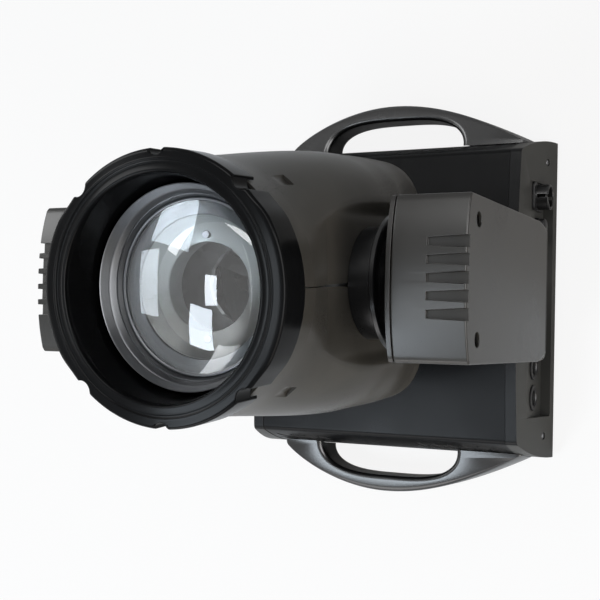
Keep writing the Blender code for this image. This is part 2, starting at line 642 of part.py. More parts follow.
# Yoke chassis: a folded steel U, standing on the hollow pan spindle
def yoke_frame():
    low = BEAM_FOOT_Z + WALL + FRAME_GAP
    knee = ARM_FOOT_Z - 0.004
    foot = BEAM_FOOT_HALF - 0.004
    top = TILT_Z + TILT_BEARING_R + 0.024
    half = ARM_HALF_W - 0.014
    outside = [(-UPRIGHT_Y - SHEET, top), (-UPRIGHT_Y - SHEET, knee), (-foot, low), (foot, low),
               (UPRIGHT_Y + SHEET, knee), (UPRIGHT_Y + SHEET, top)]
    inside = [(UPRIGHT_Y, top), (UPRIGHT_Y, knee + 0.001), (foot - 0.001, low + SHEET),
              (-foot + 0.001, low + SHEET), (-UPRIGHT_Y, knee + 0.001), (-UPRIGHT_Y, top)]
    frame = laid(plate("yoke_frame", [outside + inside], -half, half), SIDEWAYS)
    bore = laid(drum("tilt_bearing_cutter", TILT_BEARING_R + FIT, -PAST, PAST, 18, cutters),
                Matrix.Translation((0, 0, TILT_Z)) @ UPRIGHT)
    boss = laid(drum("tilt_boss_cutter", MOTOR_BOSS_R + RUN, 0.0, PAST, 16, cutters),
                Matrix.Translation((0, 0, TILT_MOTOR_Z)) @ UPRIGHT)
    wire_way = drum("wire_way_cutter", SPINDLE_BORE, low - 0.01, low + 0.01, 16, cutters)
    return finished(cut(frame, bore, boss, wire_way), BASE, STEEL, 0.4, 1.0)


TILT_BEARING_R = 0.026


def pan_spindle():
    """The hollow shaft that the yoke turns on: flange under the yoke chassis, journal down through the bearing."""
    top = BEAM_FOOT_Z + WALL + FRAME_GAP - FIT
    foot = CHASSIS_TOP - SHEET - FIT - 2 * BEARING_FLANGE
    shaft = turned("pan_spindle", [(SPINDLE_BORE, top), (SPINDLE_FLANGE, top), (SPINDLE_FLANGE, top - 0.003),
                                   (SPINDLE_R, top - 0.003), (SPINDLE_R, foot), (SPINDLE_BORE, foot)], 20)
    return finished(shaft, BASE, STEEL, 0.25, 1.0)


def pan_pulley():
    wheel = big_pulley("pan_pulley", PAN_BELT_Z, SPINDLE_R + FIT)
    return finished(wheel, BASE, ALUMINIUM, 0.35, 1.0)


# Yoke covers: a belly shell under the arms, an outer tub on each arm and an inner plate round the hub
def belly_side(inset=0.0):
    """The beam's side view as (y, z): flat floor, sloping up to the arms' outer faces, with eased corners."""
    out, foot = ARM_OUT - inset, BEAM_FOOT_HALF - inset * 0.4
    low, high = BEAM_FOOT_Z + inset, ARM_FOOT_Z - FIT
    half = [(foot, low), (foot + 0.004, low + 0.0012), (out - 0.010, high - 0.012), (out - 0.003, high - 0.006),
            (out, high - 0.001)]
    return half, high


def yoke_belly():
    half, high = belly_side()
    inner, deck = ARM_IN, BEAM_TOP_Z
    right = half + [(ARM_OUT, high), (inner, high), (inner, deck + 0.008), (inner - 0.008, deck)]
    outline = right + [(-y, z) for y, z in reversed(right)]
    belly = bevelled(laid(plate("yoke_belly", [outline], -ARM_HALF_W, ARM_HALF_W), SIDEWAYS), 0.004, 2, 60)
    half_in, _ = belly_side(WALL)
    right = half_in + [(ARM_OUT - WALL, high + 0.02), (inner + WALL, high + 0.02),
                       (inner + WALL, deck - WALL), (0.0, deck - WALL)]
    hollow = right + [(-y, z) for y, z in reversed(right[:-1])]
    cavity = laid(plate("belly_cutter", [hollow], -ARM_HALF_W + WALL, ARM_HALF_W - WALL, cutters), SIDEWAYS)
    neck = drum("belly_neck_cutter", SPINDLE_FLANGE + 0.0025, BEAM_FOOT_Z - 0.01, BEAM_FOOT_Z + 0.01, 24, cutters)
    cut(belly, cavity, neck)
    for x in (-0.034, 0.034):
        for y in (-0.080, 0.080):
            joined(belly, shifted(drum("post", POST_R, BEAM_FOOT_Z + WALL / 2, BEAM_FOOT_Z + WALL + FRAME_GAP - FIT, 8),
                                  x, y))
    return finished(belly, BASE, HEAD_GREY, 0.4)


def arm_crown(x, half=ARM_HALF_W):
    return ARM_CROWN * (1 - abs(x / half) ** 2.4)


def arm_outline(inset=0.0):
    """An arm seen from its end as (x, z): square foot corners eased, top edge crowned."""
    half, low, high = ARM_HALF_W - inset, ARM_FOOT_Z, ARM_TOP_Z - inset
    ease = 0.004
    side = [(half, low), (half, high - ease), (half - ease * 0.3, high - ease * 0.3),
            (half - ease, high + arm_crown(half - ease, half) * 0.9)]
    top = [(x, high + arm_crown(x, half)) for x in (half * share for share in (0.84, 0.66, 0.45, 0.22, 0.0))]
    right = side + top
    return right + [(-x, z) for x, z in reversed(right[:-1])]


LOUVRE_PITCH, LOUVRE_NARROW, LOUVRE_WIDE = 0.0127, 0.0056, 0.0086     # five wedges along X, widening outward
LOUVRE_Y = ARM_OUT - 0.0296                                           # where each wedge starts
LOUVRE_START, LOUVRE_DEEP = 0.0026, 0.0062                           # its depth there and at the arm's outer face
LOUVRE_SLOPE = math.atan((LOUVRE_DEEP - LOUVRE_START) / (ARM_OUT - LOUVRE_Y))
SCREW_X, SCREW_Z, SCREW_SEAT_R, SCREW_SEAT_DEEP = 0.0425, ARM_TOP_Z - 0.0175, 0.006, 0.0015
POST_R = 0.0042


def arm_cover(name, side):
    """The outer tub of an arm, with five wedge louvres cut down into its top and two sunk screw seats."""
    tub = laid(plate(name, [arm_outline()], SEAM_Y, ARM_OUT), UPRIGHT)
    bevelled(tub, 0.0022, 2, 60)
    thick_top = LOUVRE_DEEP + WALL
    inner = [(x, z - (thick_top - WALL) if z > ARM_FOOT_Z + 0.01 else z - 0.02) for x, z in arm_outline(WALL)]
    cavity = laid(plate("arm_cutter", [inner], SEAM_Y - 0.01, ARM_OUT - WALL, cutters), UPRIGHT)
    cut(tub, cavity)
    run = ARM_OUT - LOUVRE_Y + 0.01
    near = LOUVRE_NARROW / 2
    far = near + (LOUVRE_WIDE - LOUVRE_NARROW) / 2 * run / (ARM_OUT - LOUVRE_Y)
    for x in (i * LOUVRE_PITCH for i in (-2, -1, 0, 1, 2)):
        wedge = plate("louvre_cutter", [[(x - near, 0.0), (x + near, 0.0), (x + far, -run), (x - far, -run)]],
                      0.0, 0.02, cutters)
        cut(tub, laid(wedge, Matrix.Translation((0, -LOUVRE_Y, ARM_TOP_Z + arm_crown(x) - LOUVRE_START))
                      @ Matrix.Rotation(LOUVRE_SLOPE, 4, "X")))
    for x in (-SCREW_X, SCREW_X):
        joined(tub, laid(drum("post", POST_R, UPRIGHT_Y + SHEET + FIT, ARM_OUT - WALL / 2, 8),
                         Matrix.Translation((x, 0, SCREW_Z)) @ UPRIGHT))
        cut(tub, laid(drum("screw_seat_cutter", SCREW_SEAT_R, ARM_OUT - SCREW_SEAT_DEEP, ARM_OUT + 0.01, 14, cutters),
                      Matrix.Translation((x, 0, SCREW_Z)) @ UPRIGHT))
    if side > 0:
        laid(tub, Matrix.Rotation(math.pi, 4, "Z"))
    return finished(tub, BASE, HEAD_GREY, 0.4)


def arm_liner(name, side):
    """The inner cover of an arm, with the hole that the tilt shaft comes through."""
    liner = laid(plate(name, [arm_outline(), circle(SHAFT_R + RUN, 24, y=TILT_Z)], ARM_IN, SEAM_Y - FIT), UPRIGHT)
    if side > 0:
        laid(liner, Matrix.Rotation(math.pi, 4, "Z"))
    return finished(liner, BASE, HEAD_GREY, 0.4)


def tilt_bearing(name, side):
    rim, face = TILT_BEARING_R + BEARING_FLANGE, SHEET + 0.0025
    ring = turned(name, [(SHAFT_R + FIT, face), (rim, face), (rim, SHEET + FIT), (TILT_BEARING_R, SHEET + FIT),
                         (TILT_BEARING_R, -0.001), (SHAFT_R + FIT, -0.001)], 18)
    laid(ring, Matrix.Translation((0, side * UPRIGHT_Y, TILT_Z)) @ Matrix.Rotation(-side * math.pi / 2, 4, "X"))
    return finished(ring, BASE, STEEL, 0.3, 1.0)


TILT_BELT_Y = UPRIGHT_Y - 0.009


def tilt_motor():
    body = laid(motor("tilt_motor", TILT_MOTOR_L), Matrix.Translation((0, -UPRIGHT_Y - SHEET - FIT, TILT_MOTOR_Z))
                @ Matrix.Rotation(-math.pi / 2, 4, "X"))
    return finished(body, BASE, (0.02, 0.02, 0.02), 0.45, 0.6)


def tilt_pinion():
    middle = UPRIGHT_Y - TILT_BELT_Y
    wheel = laid(pinion("tilt_pinion", middle + BELT_W * 0.7, middle),
                 Matrix.Translation((0, -UPRIGHT_Y, TILT_MOTOR_Z)) @ Matrix.Rotation(-math.pi / 2, 4, "X"))
    return finished(wheel, BASE, ALUMINIUM, 0.3, 1.0, origin=(0, -TILT_BELT_Y, TILT_MOTOR_Z))


def tilt_belt():
    """The drawing's +Y, where the small pulley lies, becomes down."""
    loop = laid(belt("tilt_belt", TILT_Z - TILT_MOTOR_Z, 0.0),
                Matrix.Translation((0, -TILT_BELT_Y, TILT_Z)) @ Matrix.Rotation(-math.pi / 2, 4, "X"))
    return finished(loop, BASE, RUBBER, 0.7)


# Head shell: round behind the bezel, squarer about the tilt axis, hollowed beside each hub
SHELL_R, GROW_X, GROW_Y = 0.0925, 0.0155, 0.0050      # round at the mouth, fuller toward the axis
TAPER_Y = 0.0080                                      # and drawn in again along Y at the foot
GROW_FROM, GROW_TO, SQUARE_FROM, SQUARE_TO, TAPER_FROM = 0.150, -0.030, 0.120, -0.020, -0.045
SQUARE, SQUARE_FOOT = 3.1, 4.0             # squareness about the tilt axis and at the foot, where 2 is an ellipse
HOLLOW_HALF, HOLLOW_EDGE, HOLLOW_Y = 0.056, 0.012, 0.0845
HOLLOW_TOP, HOLLOW_FULL = 0.114, 0.078     # the flat beside each hub starts at a crease and reaches full depth
TROUGH_ANGLE, TROUGH_HALF, TROUGH_DEEP, TROUGH_FOOT = math.radians(39), math.radians(3.6), 0.0035, 0.090


def eased(low, high, value):
    t = min(1.0, max(0.0, (value - low) / (high - low)))
    return t * t * (3 - 2 * t)


def shell_size(z):
    """Half-width across X, half-width along Y and squareness of the head at height z above the tilt axis."""
    grow, taper = eased(GROW_FROM, GROW_TO, z), eased(TAPER_FROM, SHELL_FOOT, z)
    half_x, half_y = SHELL_R + GROW_X * grow, SHELL_R + GROW_Y * grow - TAPER_Y * taper
    power = 2 + (SQUARE - 2) * eased(SQUARE_FROM, SQUARE_TO, z) + (SQUARE_FOOT - SQUARE) * eased(SQUARE_TO, SHELL_FOOT, z)
    return half_x, half_y, power


def shell_levels():
    """Heights of the shell's rings: the mouth, the crease and the full depth of the flat, then down to the foot."""
    upper = [SHELL_TOP, (SHELL_TOP + HOLLOW_TOP) / 2, HOLLOW_TOP, (HOLLOW_TOP + HOLLOW_FULL) / 2, HOLLOW_FULL]
    return upper + [HOLLOW_FULL + (SHELL_FOOT - HOLLOW_FULL) * share for share in (0.154, 0.319, 0.538, 0.758, 0.89, 1.0)]


def shell_point(angle, z, inset=0.0, hollow=True):
    half_x, half_y, power = shell_size(z)
    c, s = math.cos(angle), math.sin(angle)
    x = (half_x - inset) * math.copysign(abs(c) ** (2 / power), c)
    y = (half_y - inset) * math.copysign(abs(s) ** (2 / power), s)
    if hollow:
        slope = min(1.0, max(0.0, (HOLLOW_TOP - z) / (HOLLOW_TOP - HOLLOW_FULL)))
        depth = slope * eased(HOLLOW_HALF + HOLLOW_EDGE, HOLLOW_HALF - 0.003, abs(x))
        floor = HOLLOW_Y - inset
        if abs(y) > floor:
            y -= math.copysign((abs(y) - floor) * depth, y)
    return x, y, z


def shell_block(name, angle, half, outer, inner, foot, top, group=fixture):
    """A bar that follows the shell: angle plus and minus half, between two depths, from foot to top."""
    turns = [angle + half * share for share in (-1, 0, 1)]
    return loft(name, [[shell_point(a, z, outer, False) for a in turns]
                       + [shell_point(a, z, inner, False) for a in reversed(turns)]
                       for z in (foot, (foot + top) / 2, top)], group)


def head_cover(name, side):
    """Half of the head's shell, split on the plane through the tilt axis: an open skin, thickened inward."""
    steps = 20
    start = FIT / BEZEL_R
    rings = [[shell_point(-math.pi / 2 + start + (math.pi - 2 * start) * i / steps, z) for i in range(steps + 1)]
             for z in shell_levels()]
    bm = bmesh.new()
    rows = [[bm.verts.new(p) for p in ring] for ring in rings]
    for low, high in zip(rows, rows[1:]):
        for i in range(steps):
            bm.faces.new((low[i], high[i], high[i + 1], low[i + 1]))
    skin = from_bmesh(name, bm)
    wall = skin.modifiers.new("Wall", "SOLIDIFY")
    wall.thickness, wall.offset, wall.use_even_offset = WALL, -1, True
    applied(skin)
    cut(skin, laid(drum("hub_hole_cutter", NECK_R + 0.002, -PAST, PAST, 20, cutters), UPRIGHT))
    for y in (-1, 1):
        joined(skin, shell_block("trough_back", y * TROUGH_ANGLE, TROUGH_HALF * 1.4, WALL / 2, TROUGH_DEEP + WALL,
                                 TROUGH_FOOT - WALL, BEZEL_FOOT))
        cut(skin, shell_block("trough_cutter", y * TROUGH_ANGLE, TROUGH_HALF, -0.01, TROUGH_DEEP,
                              TROUGH_FOOT, BEZEL_FOOT - WALL, cutters))
    if side < 0:
        laid(skin, Matrix.Scale(-1, 4, (1, 0, 0)))
    return finished(skin, HEAD, HEAD_GREY, 0.38)


def rear_cover():
    """The end of the head: a cup that carries on the shell, with rows of air slots and a fan opening."""
    rings = []
    count, deep = 28, REAR_FOOT - SHELL_FOOT
    steps = ((0.015, 0.0), (0.26, 0.0065), (0.64, 0.022), (0.885, 0.034), (1.0, 0.040))   # share of depth, shrink
    for share, shrink in steps:
        rings.append([shell_point(math.tau * i / count, SHELL_FOOT, shrink, False)[:2] + (SHELL_FOOT + share * deep,)
                      for i in range(count)])
    cup = loft("rear_cover", rings)
    inner = []
    for share, shrink in ((-0.3, 0.0),) + steps[1:]:
        inner.append([shell_point(math.tau * i / count, SHELL_FOOT, shrink + WALL, False)[:2]
                      + (SHELL_FOOT + share * deep + WALL,) for i in range(count)])
    cut(cup, loft("rear_cutter", inner, cutters))
    slots = [rectangle(0.0019, 0.013 + 0.010 * math.sqrt(max(0, 1 - (x / 0.04) ** 2)), x=x)
             for x in [0.0075 * i for i in range(-4, 5)]]
    cut(cup, plate("grille_cutter", slots, REAR_FOOT - 0.01, REAR_FOOT + 0.01, cutters))
    return finished(cup, HEAD, HEAD_GREY, 0.4)


# Front bezel: a heavy ring over the shell's mouth, scalloped at the four screws and notched at top and bottom
def bezel_radius(angle):
    """The rim stands a little fuller toward the hubs, with a flat run between full and plain."""
    off = abs(math.degrees(math.asin(abs(math.sin(angle)))))       # 90 toward +Y or -Y
    return BEZEL_R + 0.0018 * eased(50, 62, off)


def front_bezel():
    mouth, behind = BEZEL_BORE + 0.0025, BEZEL_TOP - 0.040
    ring = turned("front_bezel", [
        (mouth, BEZEL_TOP), (BEZEL_R - 0.003, BEZEL_TOP), (BEZEL_R, BEZEL_TOP - 0.003), (BEZEL_R, BEZEL_FOOT),
        (SHELL_MOUTH, BEZEL_FOOT), (SHELL_MOUTH, SHELL_TOP + FIT), (mouth, SHELL_TOP + FIT),
        (mouth - 0.001, behind), (BEZEL_BORE - 0.0005, behind), (BEZEL_BORE, BEZEL_TOP - 0.004)], 40)
    for vertex in ring.data.vertices:
        x, y, z = vertex.co
        if math.hypot(x, y) > SHELL_MOUTH + 0.0005:
            grow = bezel_radius(math.atan2(y, x)) / BEZEL_R
            vertex.co = (x * grow, y * grow, z)
    low, high = BEZEL_FOOT - 0.02, BEZEL_TOP + 0.02
    for turn in (43, 137, 223, 317):
        a = math.radians(turn)
        at = BEZEL_R + 0.003
        cut(ring, shifted(drum("scallop_cutter", 0.0078, low, high, 12, cutters), at * math.cos(a), at * math.sin(a)))
    for side in (-1, 1):
        cut(ring, shifted(drum("notch_cutter", 0.0052, low, high, 10, cutters), side * BEZEL_R))
    return finished(ring, HEAD, BLACK_SATIN, 0.35)


SHELL_MOUTH = BEZEL_R - 0.002


# Head chassis: a welded ladder between the hubs that carries the optics
RUNG_Z = (0.064, -0.040, -0.096)


def head_frame():
    rail, half = RAIL_Y, 0.038
    top, foot = RUNG_Z[0] + SHEET + 0.008, RUNG_Z[2] - SHEET
    outside = rectangle(rail + SHEET, (top - foot) / 2, y=(top + foot) / 2)
    bays = []
    for high, low in ((top + 0.01, RUNG_Z[0] + SHEET), (RUNG_Z[0], RUNG_Z[1] + SHEET), (RUNG_Z[1], RUNG_Z[2])):
        bays.append(rectangle(rail, (high - low) / 2, y=(high + low) / 2))
    ladder = laid(plate("head_frame", [outside], -half, half), SIDEWAYS)
    for bay in bays:
        cut(ladder, laid(plate("bay_cutter", [bay], -PAST, PAST, cutters), SIDEWAYS))
    shaft = laid(drum("shaft_way_cutter", SHAFT_BORE + 0.001, -PAST, PAST, 16, cutters), UPRIGHT)
    bores = [(0.0, 0.0, RUNG_Z[0], LIGHT_WAY_R, 16), (0.0, 0.0, RUNG_Z[1], GATE_R, 14), (0.0, 0.0, RUNG_Z[2], LAMP_R + FIT, 14),
             (-ROD_X, 0.0, RUNG_Z[0], ROD_R + FIT, 10), (ROD_X, 0.0, RUNG_Z[0], ROD_R + FIT, 10)]
    for (x, y), z in ((GOBO_AT, RUNG_Z[1]), (COLOUR_AT, RUNG_Z[1]), (PRISM_ARM_AT, RUNG_Z[0]), (SHUTTER_AT, RUNG_Z[1])):
        bores.append((x, y, z, STUB_R + FIT, 10))
    cut(ladder, shaft, *[shifted(drum("bore_cutter", radius, z - 0.01, z + 0.01, sides, cutters), x, y)
                         for x, y, z, radius, sides in bores])
    return finished(ladder, HEAD, ALUMINIUM, 0.4, 1.0)


ROD_R, ROD_X, LIGHT_WAY_R = 0.0025, 0.0345, 0.024


def tilt_hub(name, side):
    """A turned hub: plate on the chassis rail, disc proud of the shell, neck and hollow shaft out into the arm."""
    rail, seat, disc = RAIL_Y + SHEET + FIT, HOLLOW_Y + FIT, HUB_FACE - 0.005
    boss, plain, end = HUB_R - 0.010, NECK_R + 0.001, UPRIGHT_Y + SHEET + 0.0055
    hub = turned(name, [(SHAFT_BORE, end), (SHAFT_R, end), (SHAFT_R, ARM_IN - RUN), (NECK_R, ARM_IN - RUN),
                        (NECK_R, HUB_FACE), (HUB_R - 0.003, HUB_FACE), (HUB_R, HUB_FACE - 0.003), (HUB_R, disc),
                        (boss, disc - 0.002), (boss, seat), (plain, seat), (plain, rail), (SHAFT_BORE, rail)], 24)
    laid(hub, Matrix.Rotation(-side * math.pi / 2, 4, "X"))
    return finished(hub, HEAD, BLACK_SATIN, 0.4)


def tilt_pulley():
    wheel = laid(big_pulley("tilt_pulley", 0.0, SHAFT_R + FIT),
                 Matrix.Translation((0, -TILT_BELT_Y, 0)) @ Matrix.Rotation(math.pi / 2, 4, "X"))
    return finished(wheel, HEAD, ALUMINIUM, 0.35, 1.0)


# Focus: a grooved barrel with the front lens, riding on two rods
def guide_rod(name, x):
    rod = shifted(drum(name, ROD_R, RUNG_Z[0] - 0.002, LENS_SEAT - 0.0102, 10), x)
    return finished(rod, HEAD, STEEL, 0.2, 1.0)


def lens_barrel():
    """A tube whose flared front is stepped down to the lens: a plain cone, a groove, a cone and the outer rim."""
    rim, front, foot = BARREL_R, BARREL_FRONT, BARREL_FOOT
    bore, wall, edge = LENS_R - 0.003, BARREL_R - 0.0030, LENS_SEAT + LENS_EDGE + 0.0005
    barrel = turned("lens_barrel", [
        (LENS_R + FIT, edge), (HOOD_R - 0.0070, front - 0.0121), (HOOD_R - 0.0070, front - 0.0111),
        (HOOD_R - 0.0046, front - 0.0076), (HOOD_R - 0.0038, front - 0.0068), (HOOD_R - 0.0008, front), (HOOD_R, front),
        (HOOD_R, front - 0.0061), (rim, front - 0.0106), (rim, foot), (FIELD_R, foot), (FIELD_R, foot + 0.0040),
        (wall, foot + 0.0040), (wall, LENS_SEAT - 0.004), (bore, LENS_SEAT - 0.0015), (bore, LENS_SEAT - FIT),
        (LENS_R + FIT, LENS_SEAT - FIT)], 28)
    for x in (-ROD_X, ROD_X):
        cut(barrel, shifted(drum("carriage_cutter", ROD_R + FIT, foot - 0.01, foot + 0.01, 10, cutters), x))
    return finished(barrel, HEAD, (0.02, 0.021, 0.022), 0.4, origin=(0, 0, LENS_SEAT))


LENS_EDGE = 0.0045


def front_lens():
    """Plano-convex glass: flat on its seat, with a straight edge and a domed face."""
    edge, dome, steps = LENS_EDGE, 0.0150, 5
    sphere = (LENS_R ** 2 + dome ** 2) / (2 * dome)
    arc = math.asin(LENS_R / sphere)
    face = [(sphere * math.sin(arc * i / steps), LENS_SEAT + edge + dome - sphere + sphere * math.cos(arc * i / steps))
            for i in range(steps + 1)]
    lens = turned("front_lens", face + [(LENS_R, LENS_SEAT), (0.0, LENS_SEAT)], 28)
    return finished(lens, HEAD, (0.85, 0.87, 0.88), 0.03)


# Optics: prism on a swinging arm, gobo and colour wheels, shutter flags, lamp in its reflector, fan
PRISM_ARM_AT = (0.026, 0.060)
PRISM_Z = 0.048
WHEEL_R, WHEEL_OPEN_R = 0.0430, 0.0325
GOBO_AT, COLOUR_AT = (0.0, 0.0325), (0.0, -0.0325)
STUB_R = 0.003
GOBO_Z, COLOUR_Z = -0.006, -0.018
LAMP_R = 0.0065
GATE_R = 0.008
SHUTTER_Z, SHUTTER_R = -0.0315, GATE_R + 0.0015
SHUTTER_AT = (0.028, 0.0)
SHUTTER_OPEN = math.radians(75)


def prism_arm():
    """The lever that swings the prism across the beam, with its ring and pivot post in the front rung."""
    px, py = PRISM_ARM_AT
    reach = math.hypot(px, py)
    lever = turned("prism_arm", [(0.0125, PRISM_Z + 0.0025), (0.0165, PRISM_Z + 0.0025), (0.0165, PRISM_Z - 0.0025),
                                 (0.0125, PRISM_Z - 0.0025)], 20)
    a = math.atan2(py, px)
    arm = laid(box("lever", (0.0150, -0.004, PRISM_Z - 0.001), (reach, 0.004, PRISM_Z + 0.001)),
               Matrix.Rotation(a, 4, "Z"))
    post = shifted(drum("post", STUB_R, PRISM_Z - 0.0025, RUNG_Z[0] + SHEET + 0.002, 10), px, py)
    joined(lever, arm, shifted(drum("boss", 0.006, PRISM_Z - 0.0015, PRISM_Z + 0.0035, 16), px, py), post)
    return finished(lever, HEAD, STEEL, 0.35, 1.0, origin=(px, py, PRISM_Z))


def prism():
    """An eight-sided faceted glass prism in the lever's ring."""
    glass = joined(drum("prism", 0.0125 - FIT, PRISM_Z - 0.002, PRISM_Z + 0.002, 16),
                   drum("facets", 0.0115, PRISM_Z + 0.001, PRISM_Z + 0.0065, 8, top_radius=0.004))
    return finished(glass, HEAD, (0.85, 0.87, 0.88), 0.05, origin=(0, 0, PRISM_Z))


def filter_wheel(name, at, z, holes, hole_r, shaft_to):
    """A thin disc with a ring of openings and a stub shaft through the chassis rung."""
    x, y = at
    openings = [circle(hole_r, 8, WHEEL_OPEN_R * math.cos(a), WHEEL_OPEN_R * math.sin(a))
                for a in (math.tau * (i / holes) - math.atan2(y, 1e-9) for i in range(holes))]
    disc = plate(name, [circle(WHEEL_R, 24)] + openings, z - 0.0006, z + 0.0006)
    joined(disc, drum("stub", STUB_R, min(z, shaft_to), max(z, shaft_to), 10),
           drum("boss", 0.008, z - 0.002, z + 0.002, 12))
    shifted(disc, x, y)
    return finished(disc, HEAD, ALUMINIUM, 0.35, 1.0, origin=(x, y, z))


def shutter_flag():
    """A steel flag on a stub in the middle rung. At rest it stands clear of the gate; it swings in to close it."""
    x, y = SHUTTER_AT
    reach = math.hypot(x, y)
    blade = [(reach + SHUTTER_R * math.cos(a), SHUTTER_R * math.sin(a))
             for a in (math.radians(-160 + 32 * i) for i in range(11))]
    flag = plate("shutter_flag", [blade + [(0.0, 0.0045), (-0.0045, 0.0), (0.0, -0.0045)]],
                 SHUTTER_Z - 0.0005, SHUTTER_Z + 0.0005)
    joined(flag, drum("stub", STUB_R, RUNG_Z[1] - 0.002, SHUTTER_Z + 0.0015, 10))
    laid(flag, Matrix.Translation((x, y, 0)) @ Matrix.Rotation(math.pi - SHUTTER_OPEN, 4, "Z"))
    return finished(flag, HEAD, STEEL, 0.4, 1.0, origin=(x, y, SHUTTER_Z))


def lamp():
    """A short-arc lamp: bulb and stem on a ceramic base that passes through the reflector's neck and the rear rung."""
    body = turned("lamp", [(0.0, -0.0560), (0.0030, -0.0575), (0.0055, -0.0620), (0.0060, -0.0650), (0.0050, -0.0690),
                           (0.0030, -0.0730), (0.0030, -0.0820), (LAMP_R, -0.0830), (LAMP_R, RUNG_Z[2] - 0.008),
                           (0.0, RUNG_Z[2] - 0.008)], 12)
    return finished(body, HEAD, (0.75, 0.74, 0.70), 0.2)


def reflector():
    """A deep glass reflector, open toward the gate, its neck round the lamp's stem."""
    outer, inner = [], []
    for i in range(6):
        t = i / 5
        z = -0.0455 - 0.0350 * t
        r = 0.0260 * math.sqrt(max(0.0, 1 - (t * 0.93) ** 2))
        outer.append((r, z))
        inner.append((r - 0.0016, z + (0.0016 if i == 5 else 0.0)))
    neck = [(outer[-1][0], RUNG_Z[2] + FIT), (LAMP_R + FIT, RUNG_Z[2] + FIT), (LAMP_R + FIT, outer[-1][1])]
    shape = turned("reflector", outer + neck + inner[::-1], 18)
    return finished(shape, HEAD, (0.8, 0.8, 0.8), 0.08, 1.0)


FAN_Z = (REAR_FOOT + WALL + FIT, REAR_FOOT + WALL + FIT + 0.014)
FAN_HALF, FAN_BORE = 0.0300, 0.0275


def fan_housing():
    low, high = FAN_Z
    case = plate("fan_housing", [rectangle(FAN_HALF, FAN_HALF, corner=0.004), circle(FAN_BORE, 24)], low, high)
    spider = plate("spider", [rectangle(FAN_HALF - 0.001, 0.0022)], high - 0.002, high - 0.0002)
    disc = drum("carrier", 0.011, high - 0.002, high - 0.0002, 24)
    joined(case, spider, disc)
    return finished(case, HEAD, (0.015, 0.015, 0.015), 0.5)


def fan_rotor():
    """Seven twisted blades drawn as a lofted star about the hub."""
    low, high = FAN_Z[0] + 0.001, FAN_Z[1] - 0.002 - RUN
    blades, hub, tip = 7, 0.0100, FAN_BORE - 0.001
    rings = []
    for level in range(4):
        share = level / 3
        ring = []
        for blade in range(blades):
            lead = math.tau * (blade / blades) + math.radians(26) * share
            for radius, swing in ((hub, -0.40), (hub, -0.10), (tip, -0.035), (tip, 0.035), (hub, 0.10)):
                ring.append((radius * math.cos(lead + swing), radius * math.sin(lead + swing), low + (high - low) * share))
        rings.append(ring)
    rotor = loft("fan_rotor", rings)
    return finished(rotor, HEAD, (0.015, 0.015, 0.015), 0.45, origin=(0, 0, (low + high) / 2))


# Assembly, from the floor up
base_plate()
for label, fx, fy in (("foot_front_left", -1, -1), ("foot_front_right", 1, -1),
                      ("foot_rear_left", -1, 1), ("foot_rear_right", 1, 1)):
    rubber_foot(label, fx * FOOT_X, fy * FOOT_Y)
connector_end()
display_end()
base_cover()
handle("handle_right", 1)
handle("handle_left", -1)
power_inlet()
fuse_holder()
for label, across in SOCKETS.items():
    data_socket(label, across)
display_screen()
for label, across in BUTTONS.items():
    push_button(label, across)
control_board()
base_chassis()
pan_bearing()
pan_motor()
pan_pinion()
pan_belt()
power_supply()

pan_spindle()
pan_pulley()
yoke_frame()
yoke_belly()
arm_cover("arm_cover_front", -1)
arm_cover("arm_cover_rear", 1)
arm_liner("arm_liner_front", -1)
arm_liner("arm_liner_rear", 1)
tilt_bearing("tilt_bearing_front", -1)
tilt_bearing("tilt_bearing_rear", 1)
tilt_motor()
tilt_pinion()
tilt_belt()

head_frame()
head_cover("head_cover_right", 1)
head_cover("head_cover_left", -1)
rear_cover()
front_bezel()
tilt_hub("tilt_hub_front", -1)
tilt_hub("tilt_hub_rear", 1)
tilt_pulley()
guide_rod("guide_rod_right", ROD_X)
guide_rod("guide_rod_left", -ROD_X)
lens_barrel()
front_lens()
prism_arm()
prism()
filter_wheel("gobo_wheel", GOBO_AT, GOBO_Z, 8, 0.0065, RUNG_Z[1] - 0.003)
filter_wheel("colour_wheel", COLOUR_AT, COLOUR_Z, 8, 0.0085, RUNG_Z[1] - 0.003)
shutter_flag()
lamp()
reflector()
fan_housing()
fan_rotor()
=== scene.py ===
# A moving head beam light, dressed in the order it is put together: base, handles, yoke, head and optics.
# Metres, +Z up, with the connector panel toward -Y. Head pieces are drawn upright about the tilt axis.
import json
import math

import bmesh
import bpy
from mathutils import Matrix, Vector

